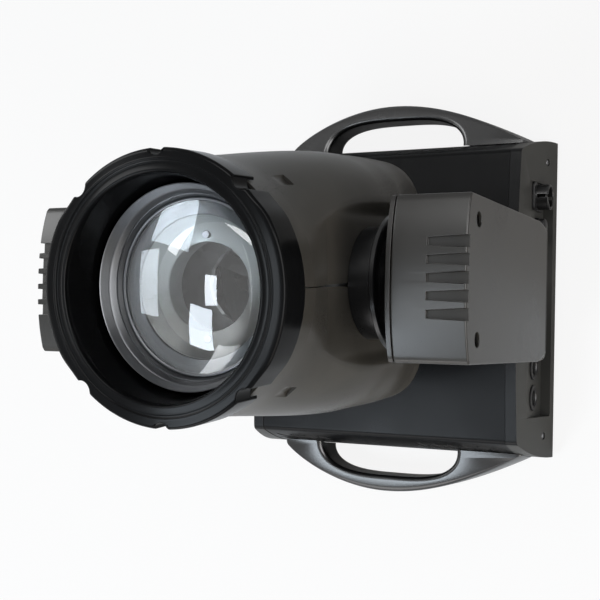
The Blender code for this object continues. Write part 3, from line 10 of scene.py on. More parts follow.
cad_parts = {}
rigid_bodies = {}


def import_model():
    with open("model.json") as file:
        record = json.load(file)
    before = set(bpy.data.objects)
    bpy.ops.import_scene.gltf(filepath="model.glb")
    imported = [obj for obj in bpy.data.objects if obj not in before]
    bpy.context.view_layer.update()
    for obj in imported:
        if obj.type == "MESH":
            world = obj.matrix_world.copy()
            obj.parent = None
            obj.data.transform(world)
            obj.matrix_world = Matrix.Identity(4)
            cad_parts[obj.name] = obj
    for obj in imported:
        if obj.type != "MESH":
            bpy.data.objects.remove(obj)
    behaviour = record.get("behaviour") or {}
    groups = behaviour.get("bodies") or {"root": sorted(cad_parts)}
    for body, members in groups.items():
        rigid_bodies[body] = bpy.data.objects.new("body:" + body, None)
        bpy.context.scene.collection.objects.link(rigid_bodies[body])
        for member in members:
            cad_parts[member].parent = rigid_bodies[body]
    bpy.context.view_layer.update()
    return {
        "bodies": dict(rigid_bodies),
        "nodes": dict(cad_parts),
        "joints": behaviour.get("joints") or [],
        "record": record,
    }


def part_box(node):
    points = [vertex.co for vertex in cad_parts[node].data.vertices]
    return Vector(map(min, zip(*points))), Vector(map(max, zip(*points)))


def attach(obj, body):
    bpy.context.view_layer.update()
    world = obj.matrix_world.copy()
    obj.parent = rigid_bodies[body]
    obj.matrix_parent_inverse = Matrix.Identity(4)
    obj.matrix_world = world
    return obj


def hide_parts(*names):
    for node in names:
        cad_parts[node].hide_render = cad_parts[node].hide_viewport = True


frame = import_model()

cad = frame["nodes"]

# Camera: a phone held over the lens, leaning toward the panel, with the picture's right along -Y.
# The three vectors are its right, up and back directions, and the shift is that of the photo's crop.
photo_lens = bpy.data.cameras.new("camera")
photo_lens.sensor_width, photo_lens.lens = 36.0, 63.08
photo_lens.shift_x, photo_lens.shift_y = -0.0868, 0.0113
camera = bpy.data.objects.new("camera", photo_lens)
bpy.context.scene.collection.objects.link(camera)
bpy.context.scene.camera = camera
right, up, back = (0.02261, -0.90866, -0.41692), (0.99933, 0.00849, 0.03568), (-0.02889, -0.41745, 0.90824)
camera.matrix_world = (Matrix.Translation((-0.04253, -0.41461, 1.05882))
                       @ Matrix((right, up, back)).transposed().to_4x4())

# Studio: a plain white floor, a white room, a soft bluish overhead light and a weak warm fill at the panel's end.
# A window panel, two strips and panels on three sides stand round the object and only show in gloss and glass.
ROOM_LEVEL, PAPER_GLOW, FLOOR_HALF, AIM_Z = 0.4, 0.88, 6, 0.43


class Wire:
    """One output in a material; arithmetic on it adds Math nodes."""

    def __init__(self, finish, socket):
        self.finish, self.socket = finish, socket

    def __add__(self, other):
        return self.finish.maths("ADD", self, other)

    def __sub__(self, other):
        return self.finish.maths("SUBTRACT", self, other)

    def __rsub__(self, other):
        return self.finish.maths("SUBTRACT", other, self)

    def __mul__(self, other):
        return self.finish.maths("MULTIPLY", self, other)

    def __lt__(self, other):
        return self.finish.maths("LESS_THAN", self, other)

    __radd__, __rmul__ = __add__, __mul__


class Finish:
    """A material under way: its shader, and the nodes that vary it over the surface."""

    def __init__(self, name, **constants):
        self.material = bpy.data.materials.new(name)
        self.material.use_nodes = True
        self.tree = self.material.node_tree
        self.shader = self.tree.nodes["Principled BSDF"]
        for socket, value in constants.items():
            self.give(self.shader.inputs[socket.replace("_", " ")], value)

    def give(self, socket, value):
        if isinstance(value, Wire):
            self.tree.links.new(value.socket, socket)
        elif isinstance(value, tuple) and socket.type == "RGBA":
            socket.default_value = (*value[:3], 1)
        else:
            socket.default_value = value

    def node(self, kind, sockets=None, out=0, **settings):
        made = self.tree.nodes.new("ShaderNode" + kind)
        for setting, value in settings.items():
            setattr(made, setting, value)
        for socket, value in (sockets or {}).items():
            self.give(made.inputs[socket], value)
        return Wire(self, made.outputs[out])

    def maths(self, operation, a, b):
        return self.node("Math", {0: a, 1: b}, operation=operation)

    def ramp(self, value, low, high, foot=0.0, top=1.0):
        return self.node("MapRange", {"Value": value, "From Min": low, "From Max": high, "To Min": foot,
                                      "To Max": top}, interpolation_type="SMOOTHSTEP")

    def between(self, share, a, b):
        """Colour a where share is 0, colour b where it is 1."""
        return self.node("Mix", {0: share, 6: a, 7: b}, out=2, data_type="RGBA")

    def place(self, stretch=(1, 1, 1)):
        at = self.node("TexCoord", out="Object")
        return at if stretch == (1, 1, 1) else self.node("Mapping", {"Vector": at, "Scale": stretch})

    def noise(self, size, detail=3.0, stretch=(1, 1, 1)):
        """Noise with features about size metres across."""
        return self.node("TexNoise", {"Vector": self.place(stretch), "Scale": 1 / size, "Detail": detail})

    def set(self, **sockets):
        for socket, value in sockets.items():
            self.give(self.shader.inputs[socket.replace("_", " ")], value)
        return self.material

    def bump(self, height, depth, strength):
        return self.node("Bump", {"Height": height, "Distance": depth, "Strength": strength})


bpy.context.scene.view_settings.view_transform = "Standard"
room = bpy.data.worlds.new("room")
bpy.context.scene.world = room
room.use_nodes = True
tree = room.node_tree
rays = tree.nodes.new("ShaderNodeLightPath")
seen = tree.nodes.new("ShaderNodeMath")
seen.operation = "MAXIMUM"
tree.links.new(rays.outputs["Is Camera Ray"], seen.inputs[0])
shine = tree.nodes.new("ShaderNodeMath")
shine.operation = "MAXIMUM"
tree.links.new(rays.outputs["Is Glossy Ray"], shine.inputs[0])
tree.links.new(rays.outputs["Is Transmission Ray"], shine.inputs[1])
tree.links.new(shine.outputs[0], seen.inputs[1])
level = tree.nodes.new("ShaderNodeMapRange")
level.inputs["To Min"].default_value, level.inputs["To Max"].default_value = ROOM_LEVEL, 1.0
tree.links.new(seen.outputs[0], level.inputs["Value"])
tree.links.new(level.outputs["Result"], tree.nodes["Background"].inputs["Strength"])
tree.nodes["Background"].inputs["Color"].default_value = (1, 1, 1, 1)

floor_mesh = bpy.data.meshes.new("floor")
floor_mesh.from_pydata([(x * FLOOR_HALF, y * FLOOR_HALF, 0) for x, y in ((-1, -1), (1, -1), (1, 1), (-1, 1))],
                       [], [(0, 1, 2, 3)])
floor = bpy.data.objects.new("floor", floor_mesh)
bpy.context.scene.collection.objects.link(floor)
paper = Finish("white_paper", Base_Color=(0.86, 0.86, 0.86), Roughness=0.9, Specular_IOR_Level=0.1)
lift = paper.node("MixShader", {0: paper.node("LightPath", out="Is Camera Ray") * PAPER_GLOW,
                                1: Wire(paper, paper.shader.outputs[0]), 2: paper.node("Emission")})
paper.give(paper.tree.nodes["Material Output"].inputs["Surface"], lift)
floor_mesh.materials.append(paper.material)

for label, at, roll, wide, deep, power, tint, diffuse in (
        ("window_panel", (0.86, 1.46, 1.52), 0, 0.7, 1.05, 22, (0.97, 0.985, 1.0), False),
        ("low_strip", (0.0, 1.8, 1.1), 0, 1.4, 0.25, 6, (1.0, 1.0, 1.0), False),
        ("side_panel", (0.94, -0.22, 1.96), -22, 1.3, 0.55, 22, (1.0, 1.0, 1.0), False),
        ("edge_panel", (0.1, -1.7, 1.5), 0, 2.00, 1.4, 80, (1.0, 1.0, 1.0), False),
        ("left_panel", (-1.8, 0.5, 0.7), 0, 1.2, 1.00, 14, (1.0, 0.98, 0.98), False),
        ("ceiling_strip", (-0.26, 0.56, 2.33), -27, 0.62, 0.28, 10, (0.86, 0.93, 1.0), False),
        ("overhead_light", (-0.96, 0.86, 1.97), -62, 0.9, 0.54, 26, (0.82, 0.91, 1.0), True),
        ("fill_light", (-1.2, -1.6, 0.8), 0, 1.1, 1.1, 17, (1.0, 0.93, 0.84), True)):
    lamp_data = bpy.data.lights.new(label, "AREA")
    lamp_data.shape, lamp_data.size, lamp_data.size_y = "RECTANGLE", wide, deep
    lamp_data.energy, lamp_data.color = power, tint
    light = bpy.data.objects.new(label, lamp_data)
    light.visible_camera, light.visible_diffuse = False, diffuse
    bpy.context.scene.collection.objects.link(light)
    aim = (Vector((0, 0, AIM_Z)) - Vector(at)).to_track_quat("-Z", "Y").to_matrix().to_4x4()
    light.matrix_world = Matrix.Translation(at) @ aim @ Matrix.Rotation(math.radians(roll), 4, "Z")


# Floor plate and feet: a black powder-coated steel sheet, with a rubber foot screwed to it near each corner.
# The foot's rim is rounded and its tread has one groove round a sunk screw head.
def shades(colour, low, high):
    return tuple(c * low for c in colour), tuple(c * high for c in colour)


def powder_coat(name, colour, gloss, shine=0.3):
    """Baked powder on steel: fine orange peel, slow shading and a few bare rubs."""
    coat = Finish(name, Specular_IOR_Level=shine)
    peel, slow, rubs = coat.noise(0.0011, 2), coat.noise(0.06, 3), coat.noise(0.012, 6, (0.35, 1.6, 1.0))
    dark, light = shades(colour, 0.82, 1.2)
    worn = coat.ramp(rubs, 0.7, 0.78)
    tone = coat.between(worn * 0.5, coat.between(slow, dark, light), tuple(c * 2.4 + 0.004 for c in colour))
    return coat.set(Base_Color=tone, Roughness=gloss + (slow - 0.5) * 0.2 + (peel - 0.5) * 0.08,
                    Normal=coat.bump(peel, 0.00007, 0.5))


def piece_of(name, bm):
    bmesh.ops.recalc_face_normals(bm, faces=bm.faces)
    mesh = bpy.data.meshes.new(name)
    bm.to_mesh(mesh)
    bm.free()
    piece = bpy.data.objects.new(name, mesh)
    bpy.context.scene.collection.objects.link(piece)
    return piece


def turned(name, profile, steps=96):
    """A run of (radius, height) turned about Z: closed if it starts and ends off the axis."""
    bm = bmesh.new()
    on_axis = profile[0][0] == 0 and profile[-1][0] == 0
    rings = []
    for radius, height in profile:
        count = 1 if radius == 0 else steps
        turns = [math.tau * i / steps for i in range(count)]
        rings.append([bm.verts.new((radius * math.cos(a), radius * math.sin(a), height)) for a in turns])
    for a, b in zip(rings, rings[1:] + ([] if on_axis else rings[:1])):
        for i in range(steps):
            corners = [a[i % len(a)], a[(i + 1) % len(a)], b[(i + 1) % len(b)], b[i % len(b)]]
            corners = [v for k, v in enumerate(corners) if v not in corners[:k]]
            if len(corners) > 2:
                bm.faces.new(corners)
    return piece_of(name, bm)


def applied(piece):
    mesh = bpy.data.meshes.new_from_object(piece.evaluated_get(bpy.context.evaluated_depsgraph_get()))
    piece.modifiers.clear()
    piece.data = mesh
    return piece


def rounded(piece, width, segments=3, angle=32, clamp=True):
    """Sharp edges rounded by width, and the flat faces kept flat in the shading."""
    edge = piece.modifiers.new("rounded", "BEVEL")
    edge.width, edge.segments, edge.limit_method, edge.angle_limit = width, segments, "ANGLE", math.radians(angle)
    edge.use_clamp_overlap = clamp
    applied(piece)
    piece.data.shade_smooth()
    even = piece.modifiers.new("even", "WEIGHTED_NORMAL")
    even.keep_sharp = True
    return applied(piece)


def fitted(piece, body, finish, *replaced, frame=Matrix.Identity(4)):
    """The finished piece in its place, on its body, standing for its CAD nodes."""
    piece.matrix_world = frame
    piece.data.materials.clear()
    piece.data.materials.append(finish)
    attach(piece, body)
    if replaced:
        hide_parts(*replaced)
    return piece


def smooth(piece, angle=40):
    piece.data.shade_smooth()
    piece.data.set_sharp_from_angle(angle=math.radians(angle))
    return piece


def dress(finish, *names):
    """A CAD node that keeps its own shape gets its finish."""
    for name in names:
        cad[name].data.materials.clear()
        cad[name].data.materials.append(finish)


dress(powder_coat("black_powder_coat", (0.016, 0.016, 0.017), 0.5), "base_plate")
rubber = Finish("foot_rubber", Specular_IOR_Level=0.3)
dusting, pores = rubber.noise(0.01, 5), rubber.noise(0.0005, 2)
rubber = rubber.set(Base_Color=rubber.between(rubber.ramp(dusting, 0.45, 0.75), (0.011, 0.011, 0.011),
                                              (0.036, 0.035, 0.033)),
                    Roughness=0.72 + dusting * 0.2, Normal=rubber.bump(pores, 0.00008, 0.6))
FOOT_TOP, FOOT_R = 0.0076, 0.015
tread = [(0, FOOT_TOP), (FOOT_R - 0.0008, FOOT_TOP), (FOOT_R, FOOT_TOP - 0.0008), (FOOT_R - 0.0006, 0.003),
         (FOOT_R - 0.0014, 0.0008), (FOOT_R - 0.0026, 0.0), (FOOT_R - 0.0052, 0.0), (FOOT_R - 0.0057, 0.0007),
         (FOOT_R - 0.0066, 0.0007), (FOOT_R - 0.0071, 0.0), (0.0048, 0.0), (0.0044, 0.0004), (0.0044, 0.003),
         (0, 0.003)]
for corner in ("front_left", "front_right", "rear_left", "rear_right"):
    low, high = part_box("foot_" + corner)
    foot = smooth(turned("rubber_foot_" + corner, tread, 64))
    foot.data.transform(Matrix.Translation(((low.x + high.x) / 2, (low.y + high.y) / 2, 0)))
    fitted(foot, "base", rubber, "foot_" + corner)

# End castings: two die-cast caps with leaning faces that close the base at -Y and +Y. Their rims are rounded, the
# -Y face has a long recess for the sockets, and two sunk screws hold each face near its outer corners.
FOOT_H, TOP_Z, TOP_W, FOOT_W, TOP_D, FOOT_D = 0.008, 0.088, 0.281, 0.317, 0.285, 0.315
CROWN, SEAT_Y, WALL = 0.006, 0.1315, 0.0025
UPRIGHT = Matrix.Rotation(math.pi / 2, 4, "X")
SIDEWAYS = Matrix(((0, 0, 1, 0), (1, 0, 0, 0), (0, 1, 0, 0), (0, 0, 0, 1)))


def flank(z):
    return FOOT_W / 2 - (FOOT_W - TOP_W) / 2 * ((z - FOOT_H) / (TOP_Z - FOOT_H)) ** 2


def end_face(z):
    return FOOT_D / 2 - (FOOT_D - TOP_D) / 2 * (z - FOOT_H) / (TOP_Z - FOOT_H)


def arch(inset=0.0, sink=0.0):
    """The base's cross-section as (x, z), with the shoulder between flank and crowned lid rounded by 4 mm."""
    top, radius = TOP_Z - inset - sink, 0.004
    half = flank(TOP_Z - inset) - inset - sink
    right_side = [(flank(z) - inset - sink, z)
                  for z in (FOOT_H + (top - radius - FOOT_H) * i / 16 for i in range(17))]
    start, corner, end = Vector(right_side[-1]), Vector((half, top)), Vector((half - radius, top + 0.0003))
    for i in range(1, 7):
        t = i / 6
        right_side.append(tuple(start * (1 - t) ** 2 + corner * 2 * t * (1 - t) + end * t * t))
    span = half - radius
    right_side += [(x, top + CROWN * (1 - (x / half) ** 2)) for x in (span * (1 - i / 14) for i in range(1, 15))]
    return right_side + [(-x, z) for x, z in reversed(right_side[:-1])]


def cast_cap(name, side):
    """Outer skin from the seat to the leaning face, and an inner skin one wall in."""
    bm = bmesh.new()
    rings = []
    for outline, reach in ((arch(), lambda z: SEAT_Y), (arch(), end_face),
                           (arch(WALL), lambda z: end_face(z) - WALL), (arch(WALL), lambda z: SEAT_Y)):
        rings.append([bm.verts.new((x, side * reach(z), z)) for x, z in outline])
    last = len(rings[0]) - 1
    for near, far in ((0, 1), (2, 3), (3, 0)):
        for i in range(last):
            bm.faces.new((rings[near][i], rings[near][i + 1], rings[far][i + 1], rings[far][i]))
    for i in (0, last):
        bm.faces.new([ring[i] for ring in rings])
    bm.faces.new((rings[1][0], rings[1][last], rings[2][last], rings[2][0]))
    bm.faces.new(rings[1])
    bm.faces.new(rings[2])
    return piece_of(name, bm)


def pressed(name, outlines, low, high):
    """A flat outline, with any holes, as a solid between two heights."""
    curve = bpy.data.curves.new(name, "CURVE")
    curve.dimensions, curve.fill_mode, curve.extrude = "2D", "BOTH", (high - low) / 2
    for outline in outlines:
        line = curve.splines.new("POLY")
        line.points.add(len(outline) - 1)
        for point, (x, y) in zip(line.points, outline):
            point.co = (x, y, 0, 1)
        line.use_cyclic_u = True
    drawn = bpy.data.objects.new(name, curve)
    bpy.context.scene.collection.objects.link(drawn)
    mesh = bpy.data.meshes.new_from_object(drawn.evaluated_get(bpy.context.evaluated_depsgraph_get()))
    bpy.data.objects.remove(drawn)
    bm = bmesh.new()
    bm.from_mesh(mesh)
    bmesh.ops.remove_doubles(bm, verts=bm.verts, dist=1e-6)
    bmesh.ops.dissolve_limit(bm, angle_limit=0.0005, verts=bm.verts, edges=bm.edges)
    bmesh.ops.translate(bm, vec=(0, 0, (low + high) / 2), verts=bm.verts)
    return piece_of(name, bm)


def oblong(half_x, half_y, x=0.0, y=0.0, corner=0.001, steps=6):
    points = []
    for turn, (sx, sy) in enumerate(((1, 1), (-1, 1), (-1, -1), (1, -1))):
        for i in range(steps + 1):
            a = math.pi / 2 * (turn + i / steps)
            points.append((x + sx * (half_x - corner) + corner * math.cos(a),
                           y + sy * (half_y - corner) + corner * math.sin(a)))
    return points


def ring(radius, y=0.0, count=48):
    return [(radius * math.cos(math.tau * i / count), y + radius * math.sin(math.tau * i / count))
            for i in range(count)]


def laid(piece, matrix):
    piece.data.transform(matrix)
    if matrix.determinant() < 0:
        piece.data.flip_normals()
    return piece


def carved(piece, *tools, operation="DIFFERENCE"):
    for tool in tools:
        step = piece.modifiers.new("carved", "BOOLEAN")
        step.operation, step.object, step.solver = operation, tool, "EXACT"
        applied(piece)
        bpy.data.objects.remove(tool)
    return piece


def plug(name, radius, low, high, steps=48):
    """A plain cylinder along Z that cuts a round hole."""
    return turned(name, [(0, low), (radius, low), (radius, high), (0, high)], steps)


def moulded(name, colour, gloss, grain=0.0007, depth=0.00005, shine=0.4, dust=0.25):
    """Spark-textured moulding: even grain, slow mottling, settled dust and a few long rubs."""
    plastic = Finish(name, Specular_IOR_Level=shine)
    slow, fine = plastic.noise(0.085, 4), plastic.noise(grain, 2)
    specks, rubs = plastic.noise(0.0022, 5), plastic.noise(0.02, 7, (0.25, 1.5, 1.5))
    dark, light = shades(colour, 0.8, 1.25)
    tone = plastic.between(plastic.ramp(slow, 0.3, 0.7), dark, light)
    tone = plastic.between(plastic.ramp(specks, 0.66, 0.8) * dust, tone, tuple(c * 1.5 + 0.02 for c in colour))
    tone = plastic.between(plastic.ramp(rubs, 0.66, 0.74) * dust * 0.5, tone, tuple(c * 1.8 + 0.01 for c in colour))
    return plastic.set(Base_Color=tone, Roughness=gloss + (slow - 0.5) * 0.16 + (fine - 0.5) * 0.08,
                       Normal=plastic.bump(fine, depth, 0.45))


def plated(name, colour, gloss, size=0.004):
    """Plated or polished small metalwork, with faint handling marks."""
    metal = Finish(name, Metallic=1.0)
    marks, fine = metal.noise(size, 5), metal.noise(0.0004, 2)
    dark, light = shades(colour, 0.72, 1.1)
    return metal.set(Base_Color=metal.between(metal.ramp(marks, 0.35, 0.65), dark, light),
                     Roughness=gloss + marks * 0.12, Normal=metal.bump(fine, 0.00001, 0.3))


def screw_head(name, radius, body, place):
    """A pan head with a cross recess, its seat at the place's origin."""
    head = turned(name, [(0, radius * 0.62), (radius * 0.45, radius * 0.58), (radius * 0.8, radius * 0.42),
                         (radius * 0.97, radius * 0.2), (radius, 0), (0, 0)], 32)
    bars = [pressed("bar", [oblong(radius * 0.62, radius * 0.13, corner=radius * 0.05, steps=2)],
                    radius * 0.22, radius) for _ in range(2)]
    laid(bars[1], Matrix.Rotation(math.pi / 2, 4, "Z"))
    smooth(carved(head, *bars), 35)
    return fitted(laid(head, place), body, screw_steel)


casting_grey = moulded("panel_grey_casting", (0.034, 0.034, 0.0315), 0.4, grain=0.0009, depth=0.00006, shine=0.22)
screw_steel = plated("blackened_screw", (0.16, 0.16, 0.165), 0.34)
SOCKET_Z, FLOOR_Y = 0.046, -0.145975
SOCKETS = {"data_input": -0.068, "data_output": -0.098}
SOCKET_HOLE, INLET_X, INLET_HOLE, FUSE_X, FUSE_HOLE = 0.0109, 0.099, 0.0129, 0.07, 0.0069
TUB_LOW, TUB_HIGH = 0.014, 0.0725
recess = laid(pressed("recess", [oblong(0.115, 0.02675, x=-0.002, y=0.04325, corner=0.0025)], -FLOOR_Y, 0.2),
              UPRIGHT)
tub = [(FLOOR_Y + WALL, TUB_LOW), (-end_face(TUB_LOW) + WALL / 2, TUB_LOW),
       (-end_face(TUB_HIGH) + WALL / 2, TUB_HIGH), (FLOOR_Y + WALL, TUB_HIGH)]
tub = laid(pressed("tub", [tub], -0.1195, 0.1155), SIDEWAYS)
panel = cast_cap("connector_panel", -1)
carved(panel, tub, operation="UNION")
carved(panel, recess)


def in_recess(x):
    """Local z points out of the recess floor, at x in the row of sockets."""
    return Matrix.Translation((x, FLOOR_Y, SOCKET_Z)) @ UPRIGHT


for x, radius in [(x, SOCKET_HOLE) for x in SOCKETS.values()] + [(INLET_X, INLET_HOLE), (FUSE_X, FUSE_HOLE)]:
    carved(panel, laid(plug("hole", radius, -0.02, 0.02), in_recess(x)))
FACE_LEAN = math.atan((FOOT_D - TOP_D) / 2 / (TOP_Z - FOOT_H))
SCREW_X, SCREW_Z, WELL_DEEP = 0.136, 0.03, 0.0018


def face_place(side, x, z, sink=0.0):
    """Local z points out of an end's leaning face, at x and height z."""
    turn, lean = math.pi if side > 0 else 0.0, math.pi / 2 - FACE_LEAN
    turn = Matrix.Rotation(turn, 4, "Z") @ Matrix.Rotation(lean, 4, "X")
    return Matrix.Translation((x, side * end_face(z), z)) @ turn @ Matrix.Translation((0, 0, -sink))


def screw_down(casting, label, side):
    """A screw sunk in a round well near each outer corner of a casting's face."""
    for x in (-SCREW_X, SCREW_X):
        carved(casting, laid(plug("screw_well", 0.0036, -WELL_DEEP, 0.01, 32), face_place(side, x, SCREW_Z)))
        screw_head("%s_screw_%s" % (label, "right" if x > 0 else "left"), 0.003, "base",
                   face_place(side, x, SCREW_Z, WELL_DEEP))


screw_down(panel, "panel", -1)
fitted(rounded(panel, 0.0009), "base", casting_grey, "connector_end")
rim_black = powder_coat("rim_black_satin", (0.0046, 0.005, 0.0056), 0.3, 0.1)


def blacken_rim(casting):
    """The crowned rim beside the lid is sprayed black with it; the leaning face stays grey."""
    casting.data.materials.append(rim_black)
    for face in casting.data.polygons:
        if face.normal.z > 0.55 and face.center.z > 0.08:
            face.material_index = 1


blacken_rim(panel)

# Sockets, inlet and fuse: two three-pin round sockets, a locking round mains inlet and a capped fuse, each pushed
# through the panel from outside. Shells are black moulding, and the contacts are plated brass.
socket_black = moulded("socket_black", (0.007, 0.007, 0.0075), 0.3, grain=0.0005, depth=0.00002, shine=0.3,
                       dust=0.12)
contact = plated("plated_contact", (0.72, 0.62, 0.4), 0.22, 0.001)
PIN_CIRCLE, BLADE_CIRCLE, FLUTE_CIRCLE = 0.004, 0.0071, 0.0083


def key_way(half_x, half_y, y, low, high):
    return pressed("key_way", [oblong(half_x, half_y, y=y, corner=0.0004, steps=2)], low, high)


for name, x in SOCKETS.items():
    shell = turned(name + "_shell", [
        (0, -0.013), (0.0075, -0.013), (0.0075, 0.0004), (0.0079, 0.0012), (0.0086, 0.0018), (0.012, 0.0018),
        (0.0127, 0.0012), (0.0127, 0.0002), (0.0104, 0.0002), (0.0104, -0.016), (0, -0.016)], 64)
    carved(shell, key_way(0.0012, 0.001, 0.008, -0.01, 0.01))
    fitted(laid(smooth(shell, 30), in_recess(x)), "base", socket_black, name)
    for i, turn in enumerate((90, 210, 330)):
        a = math.radians(turn)
        pin = smooth(turned("%s_pin_%d" % (name, i + 1), [
            (0, -0.0022), (0.0007, -0.0024), (0.0011, -0.0032), (0.0011, -0.013), (0, -0.013)], 20))
        place = in_recess(x) @ Matrix.Translation((PIN_CIRCLE * math.cos(a), PIN_CIRCLE * math.sin(a), 0))
        fitted(laid(pin, place), "base", contact)
inlet = turned("power_inlet_body", [
    (0, 0.011), (0.004, 0.011), (0.0045, 0.0105), (0.0045, -0.016), (0.0098, -0.016), (0.0098, 0.0142),
    (0.0104, 0.015), (0.0117, 0.015), (0.0125, 0.0142), (0.0125, -0.02), (0, -0.02)], 64)
carved(inlet, pressed("flange", [oblong(0.0135, 0.0155, corner=0.003), ring(0.0115)], 0.0004, 0.0026),
       operation="UNION")
for side in (-1, 1):
    carved(inlet, key_way(0.0017, 0.0019, side * 0.0107, 0.004, 0.03))
fitted(laid(rounded(inlet, 0.0003, 2), in_recess(INLET_X)), "base", socket_black, "power_inlet")
for i, turn in enumerate((0, 120, 240)):
    blade = pressed("inlet_contact_%d" % (i + 1), [oblong(0.0004, 0.0016, corner=0.0003, steps=2)], -0.016, 0.006)
    place = in_recess(INLET_X) @ Matrix.Rotation(math.radians(turn), 4, "Z")
    fitted(laid(blade, place @ Matrix.Translation((BLADE_CIRCLE, 0, 0))), "base", contact)
cap = turned("fuse_cap", [
    (0, 0.0105), (0.0058, 0.0105), (0.007, 0.0099), (0.0078, 0.0088), (0.008, 0.005), (0.0084, 0.0042),
    (0.009, 0.0038), (0.009, 0.0004), (0.0064, 0.0004), (0.0064, -0.022), (0, -0.022)], 48)
flutes = [laid(plug("flute", 0.0007, 0.0046, 0.02, 10), Matrix.Translation((x, y, 0)))
          for x, y in ring(FLUTE_CIRCLE, count=16)]
carved(cap, *flutes, pressed("coin_slot", [oblong(0.0052, 0.0008, corner=0.0003, steps=2)], 0.0088, 0.02))
fitted(laid(smooth(cap, 35), in_recess(FUSE_X)), "base", socket_black, "fuse_holder")

# Display end: the same die-cast cap at +Y, with a framed screen window and four keys in one row.
# The screen is a dark glass over its panel, and each key is a domed cap with a ring round its finger dish.
back_panel = cast_cap("display_panel", 1)
SCREEN_X, KEYS_UP, KEY_HOLE = 0.038, 0.042, 0.0059
KEYS = {"menu_button": -0.024, "down_button": -0.046, "up_button": -0.068, "enter_button": -0.09}


def on_display(x):
    """Local z points out of the leaning +Y face, local y up along it, at the height of the key row."""
    c, s = math.cos(FACE_LEAN), math.sin(FACE_LEAN)
    at = Matrix.Translation((x, FOOT_D / 2 - KEYS_UP * s, FOOT_H + KEYS_UP * c))
    return at @ Matrix.Rotation(math.pi, 4, "Z") @ Matrix.Rotation(math.pi / 2 - FACE_LEAN, 4, "X")


window = pressed("window", [oblong(0.036, 0.019, corner=0.002)], -0.02, 0.02)
carved(back_panel, laid(window, on_display(SCREEN_X)))
for x in KEYS.values():
    carved(back_panel, laid(plug("key_hole", KEY_HOLE, -0.02, 0.02, 40), on_display(x)))
screw_down(back_panel, "display", 1)
fitted(rounded(back_panel, 0.0009), "base", casting_grey, "display_end")
blacken_rim(back_panel)
glass_black = Finish("screen_glass", Specular_IOR_Level=0.6, Coat_Roughness=0.04)
smears = glass_black.noise(0.03, 6, (1, 0.4, 1))
cells = glass_black.node("TexChecker", {"Vector": glass_black.place(), "Scale": 1800.0}, out=1)
glass_black = glass_black.set(
    Base_Color=glass_black.between(cells * 0.25, (0.006, 0.01, 0.018), (0.01, 0.017, 0.032)),
    Roughness=0.06 + smears * 0.12, Coat_Weight=0.6 + smears * 0.3)
screen = pressed("screen_glass", [oblong(0.0356, 0.0186, corner=0.0016)], -0.0035, -0.0006)
carved(screen, pressed("carrier", [oblong(0.0396, 0.0226)], -0.006, -0.0029), operation="UNION")
fitted(laid(rounded(screen, 0.0003, 2), on_display(SCREEN_X)), "base", glass_black, "display_screen")
key_grey = moulded("key_grey", (0.075, 0.075, 0.074), 0.4, grain=0.0004, depth=0.00002, dust=0.1)
for name, x in KEYS.items():
    cap = turned(name + "_cap", [
        (0, 0.0019), (0.0022, 0.002), (0.0038, 0.0024), (0.0045, 0.0025), (0.0051, 0.0022), (0.0055, 0.0015),
        (0.0055, -0.0033), (0.0067, -0.0033), (0.0067, -0.0043), (0, -0.0043)], 48)
    fitted(laid(smooth(cap), on_display(x)), name.replace("_button", "_key"), key_grey, name)

# Lid cover: one folded and painted steel skin over the base, with two rows of slanted air slots low on each flank
# and a round hole for the neck. It sits half a millimetre below the castings' rims.
lid_black = powder_coat("lid_black_satin", (0.0034, 0.0037, 0.0042), 0.3, 0.07)
skin_out, skin_in = arch(0.0, 0.0005), arch(WALL, 0.0)
lid = laid(pressed("lid_cover", [skin_out + skin_in[::-1]], -SEAT_Y + 0.0004, SEAT_Y - 0.0004), UPRIGHT)
slots = []
for z in (0.066, 0.052):
    for start, count in ((0.07, 4), (-0.12, 6)):
        for i in range(count):
            a, y = math.radians(40), start + i * 0.016
            corners = ((0.00934, 0.0023), (-0.00566, 0.0023), (-0.00934, -0.0023), (0.00566, -0.0023))
            slots.append([(y + u * math.cos(a) - v * math.sin(a), z + u * math.sin(a) + v * math.cos(a))
                          for u, v in corners])
vents = laid(pressed("vents", slots, -0.3, 0.3), SIDEWAYS)
carved(lid, vents, plug("neck_hole", 0.0235, 0.07, 0.11, 96))
fitted(rounded(lid, 0.00035, 2, 45), "base", lid_black, "base_cover")

# Handles: two injection-moulded bows screwed to the flanks, with a rounded rim and a finger opening.
# The top slopes away from the lid, and the plastic is semi-gloss and scuffed where it is carried.
REACH, BAR, LOW, HIGH, UNDER, OVER, SLOPE = 0.2025, 0.017, 0.012, 0.052, 0.004, 0.006, 0.22
APEX_Y, REAR_RUN, FRONT_RUN, GRIP_MID, GRIP_HALF = 0.012, 0.113, 0.15, 0.0055, 0.0755


def handle_ring(side, edge, z, steps=72):
    """The bow as (x, y) at one height, drawn back from its edges by edge, seated on the flank."""
    seat = flank(z) + 0.0004
    bow, grip = [], []
    for i in range(steps + 1):
        a = math.cos(math.pi * i / steps)
        run, power = (REAR_RUN, 0.65) if a > 0 else (FRONT_RUN, 0.95)
        y = APEX_Y + (run - edge) * a
        reach = seat + (REACH - edge - seat) * max(0.0, math.cos(math.pi / 2 * (y - APEX_Y) / run)) ** power
        bow.append((reach if 0 < i < steps else seat, y))
        y = GRIP_MID - (GRIP_HALF + edge) * a
        share = abs((y - GRIP_MID) / (GRIP_HALF + edge))
        hollow = seat + (REACH - BAR + edge - seat) * max(0.0, 1 - share ** 3.2) ** 0.45
        grip.append((hollow if 0 < i < steps else seat, y))
    return [(side * x, y) for x, y in bow + grip]


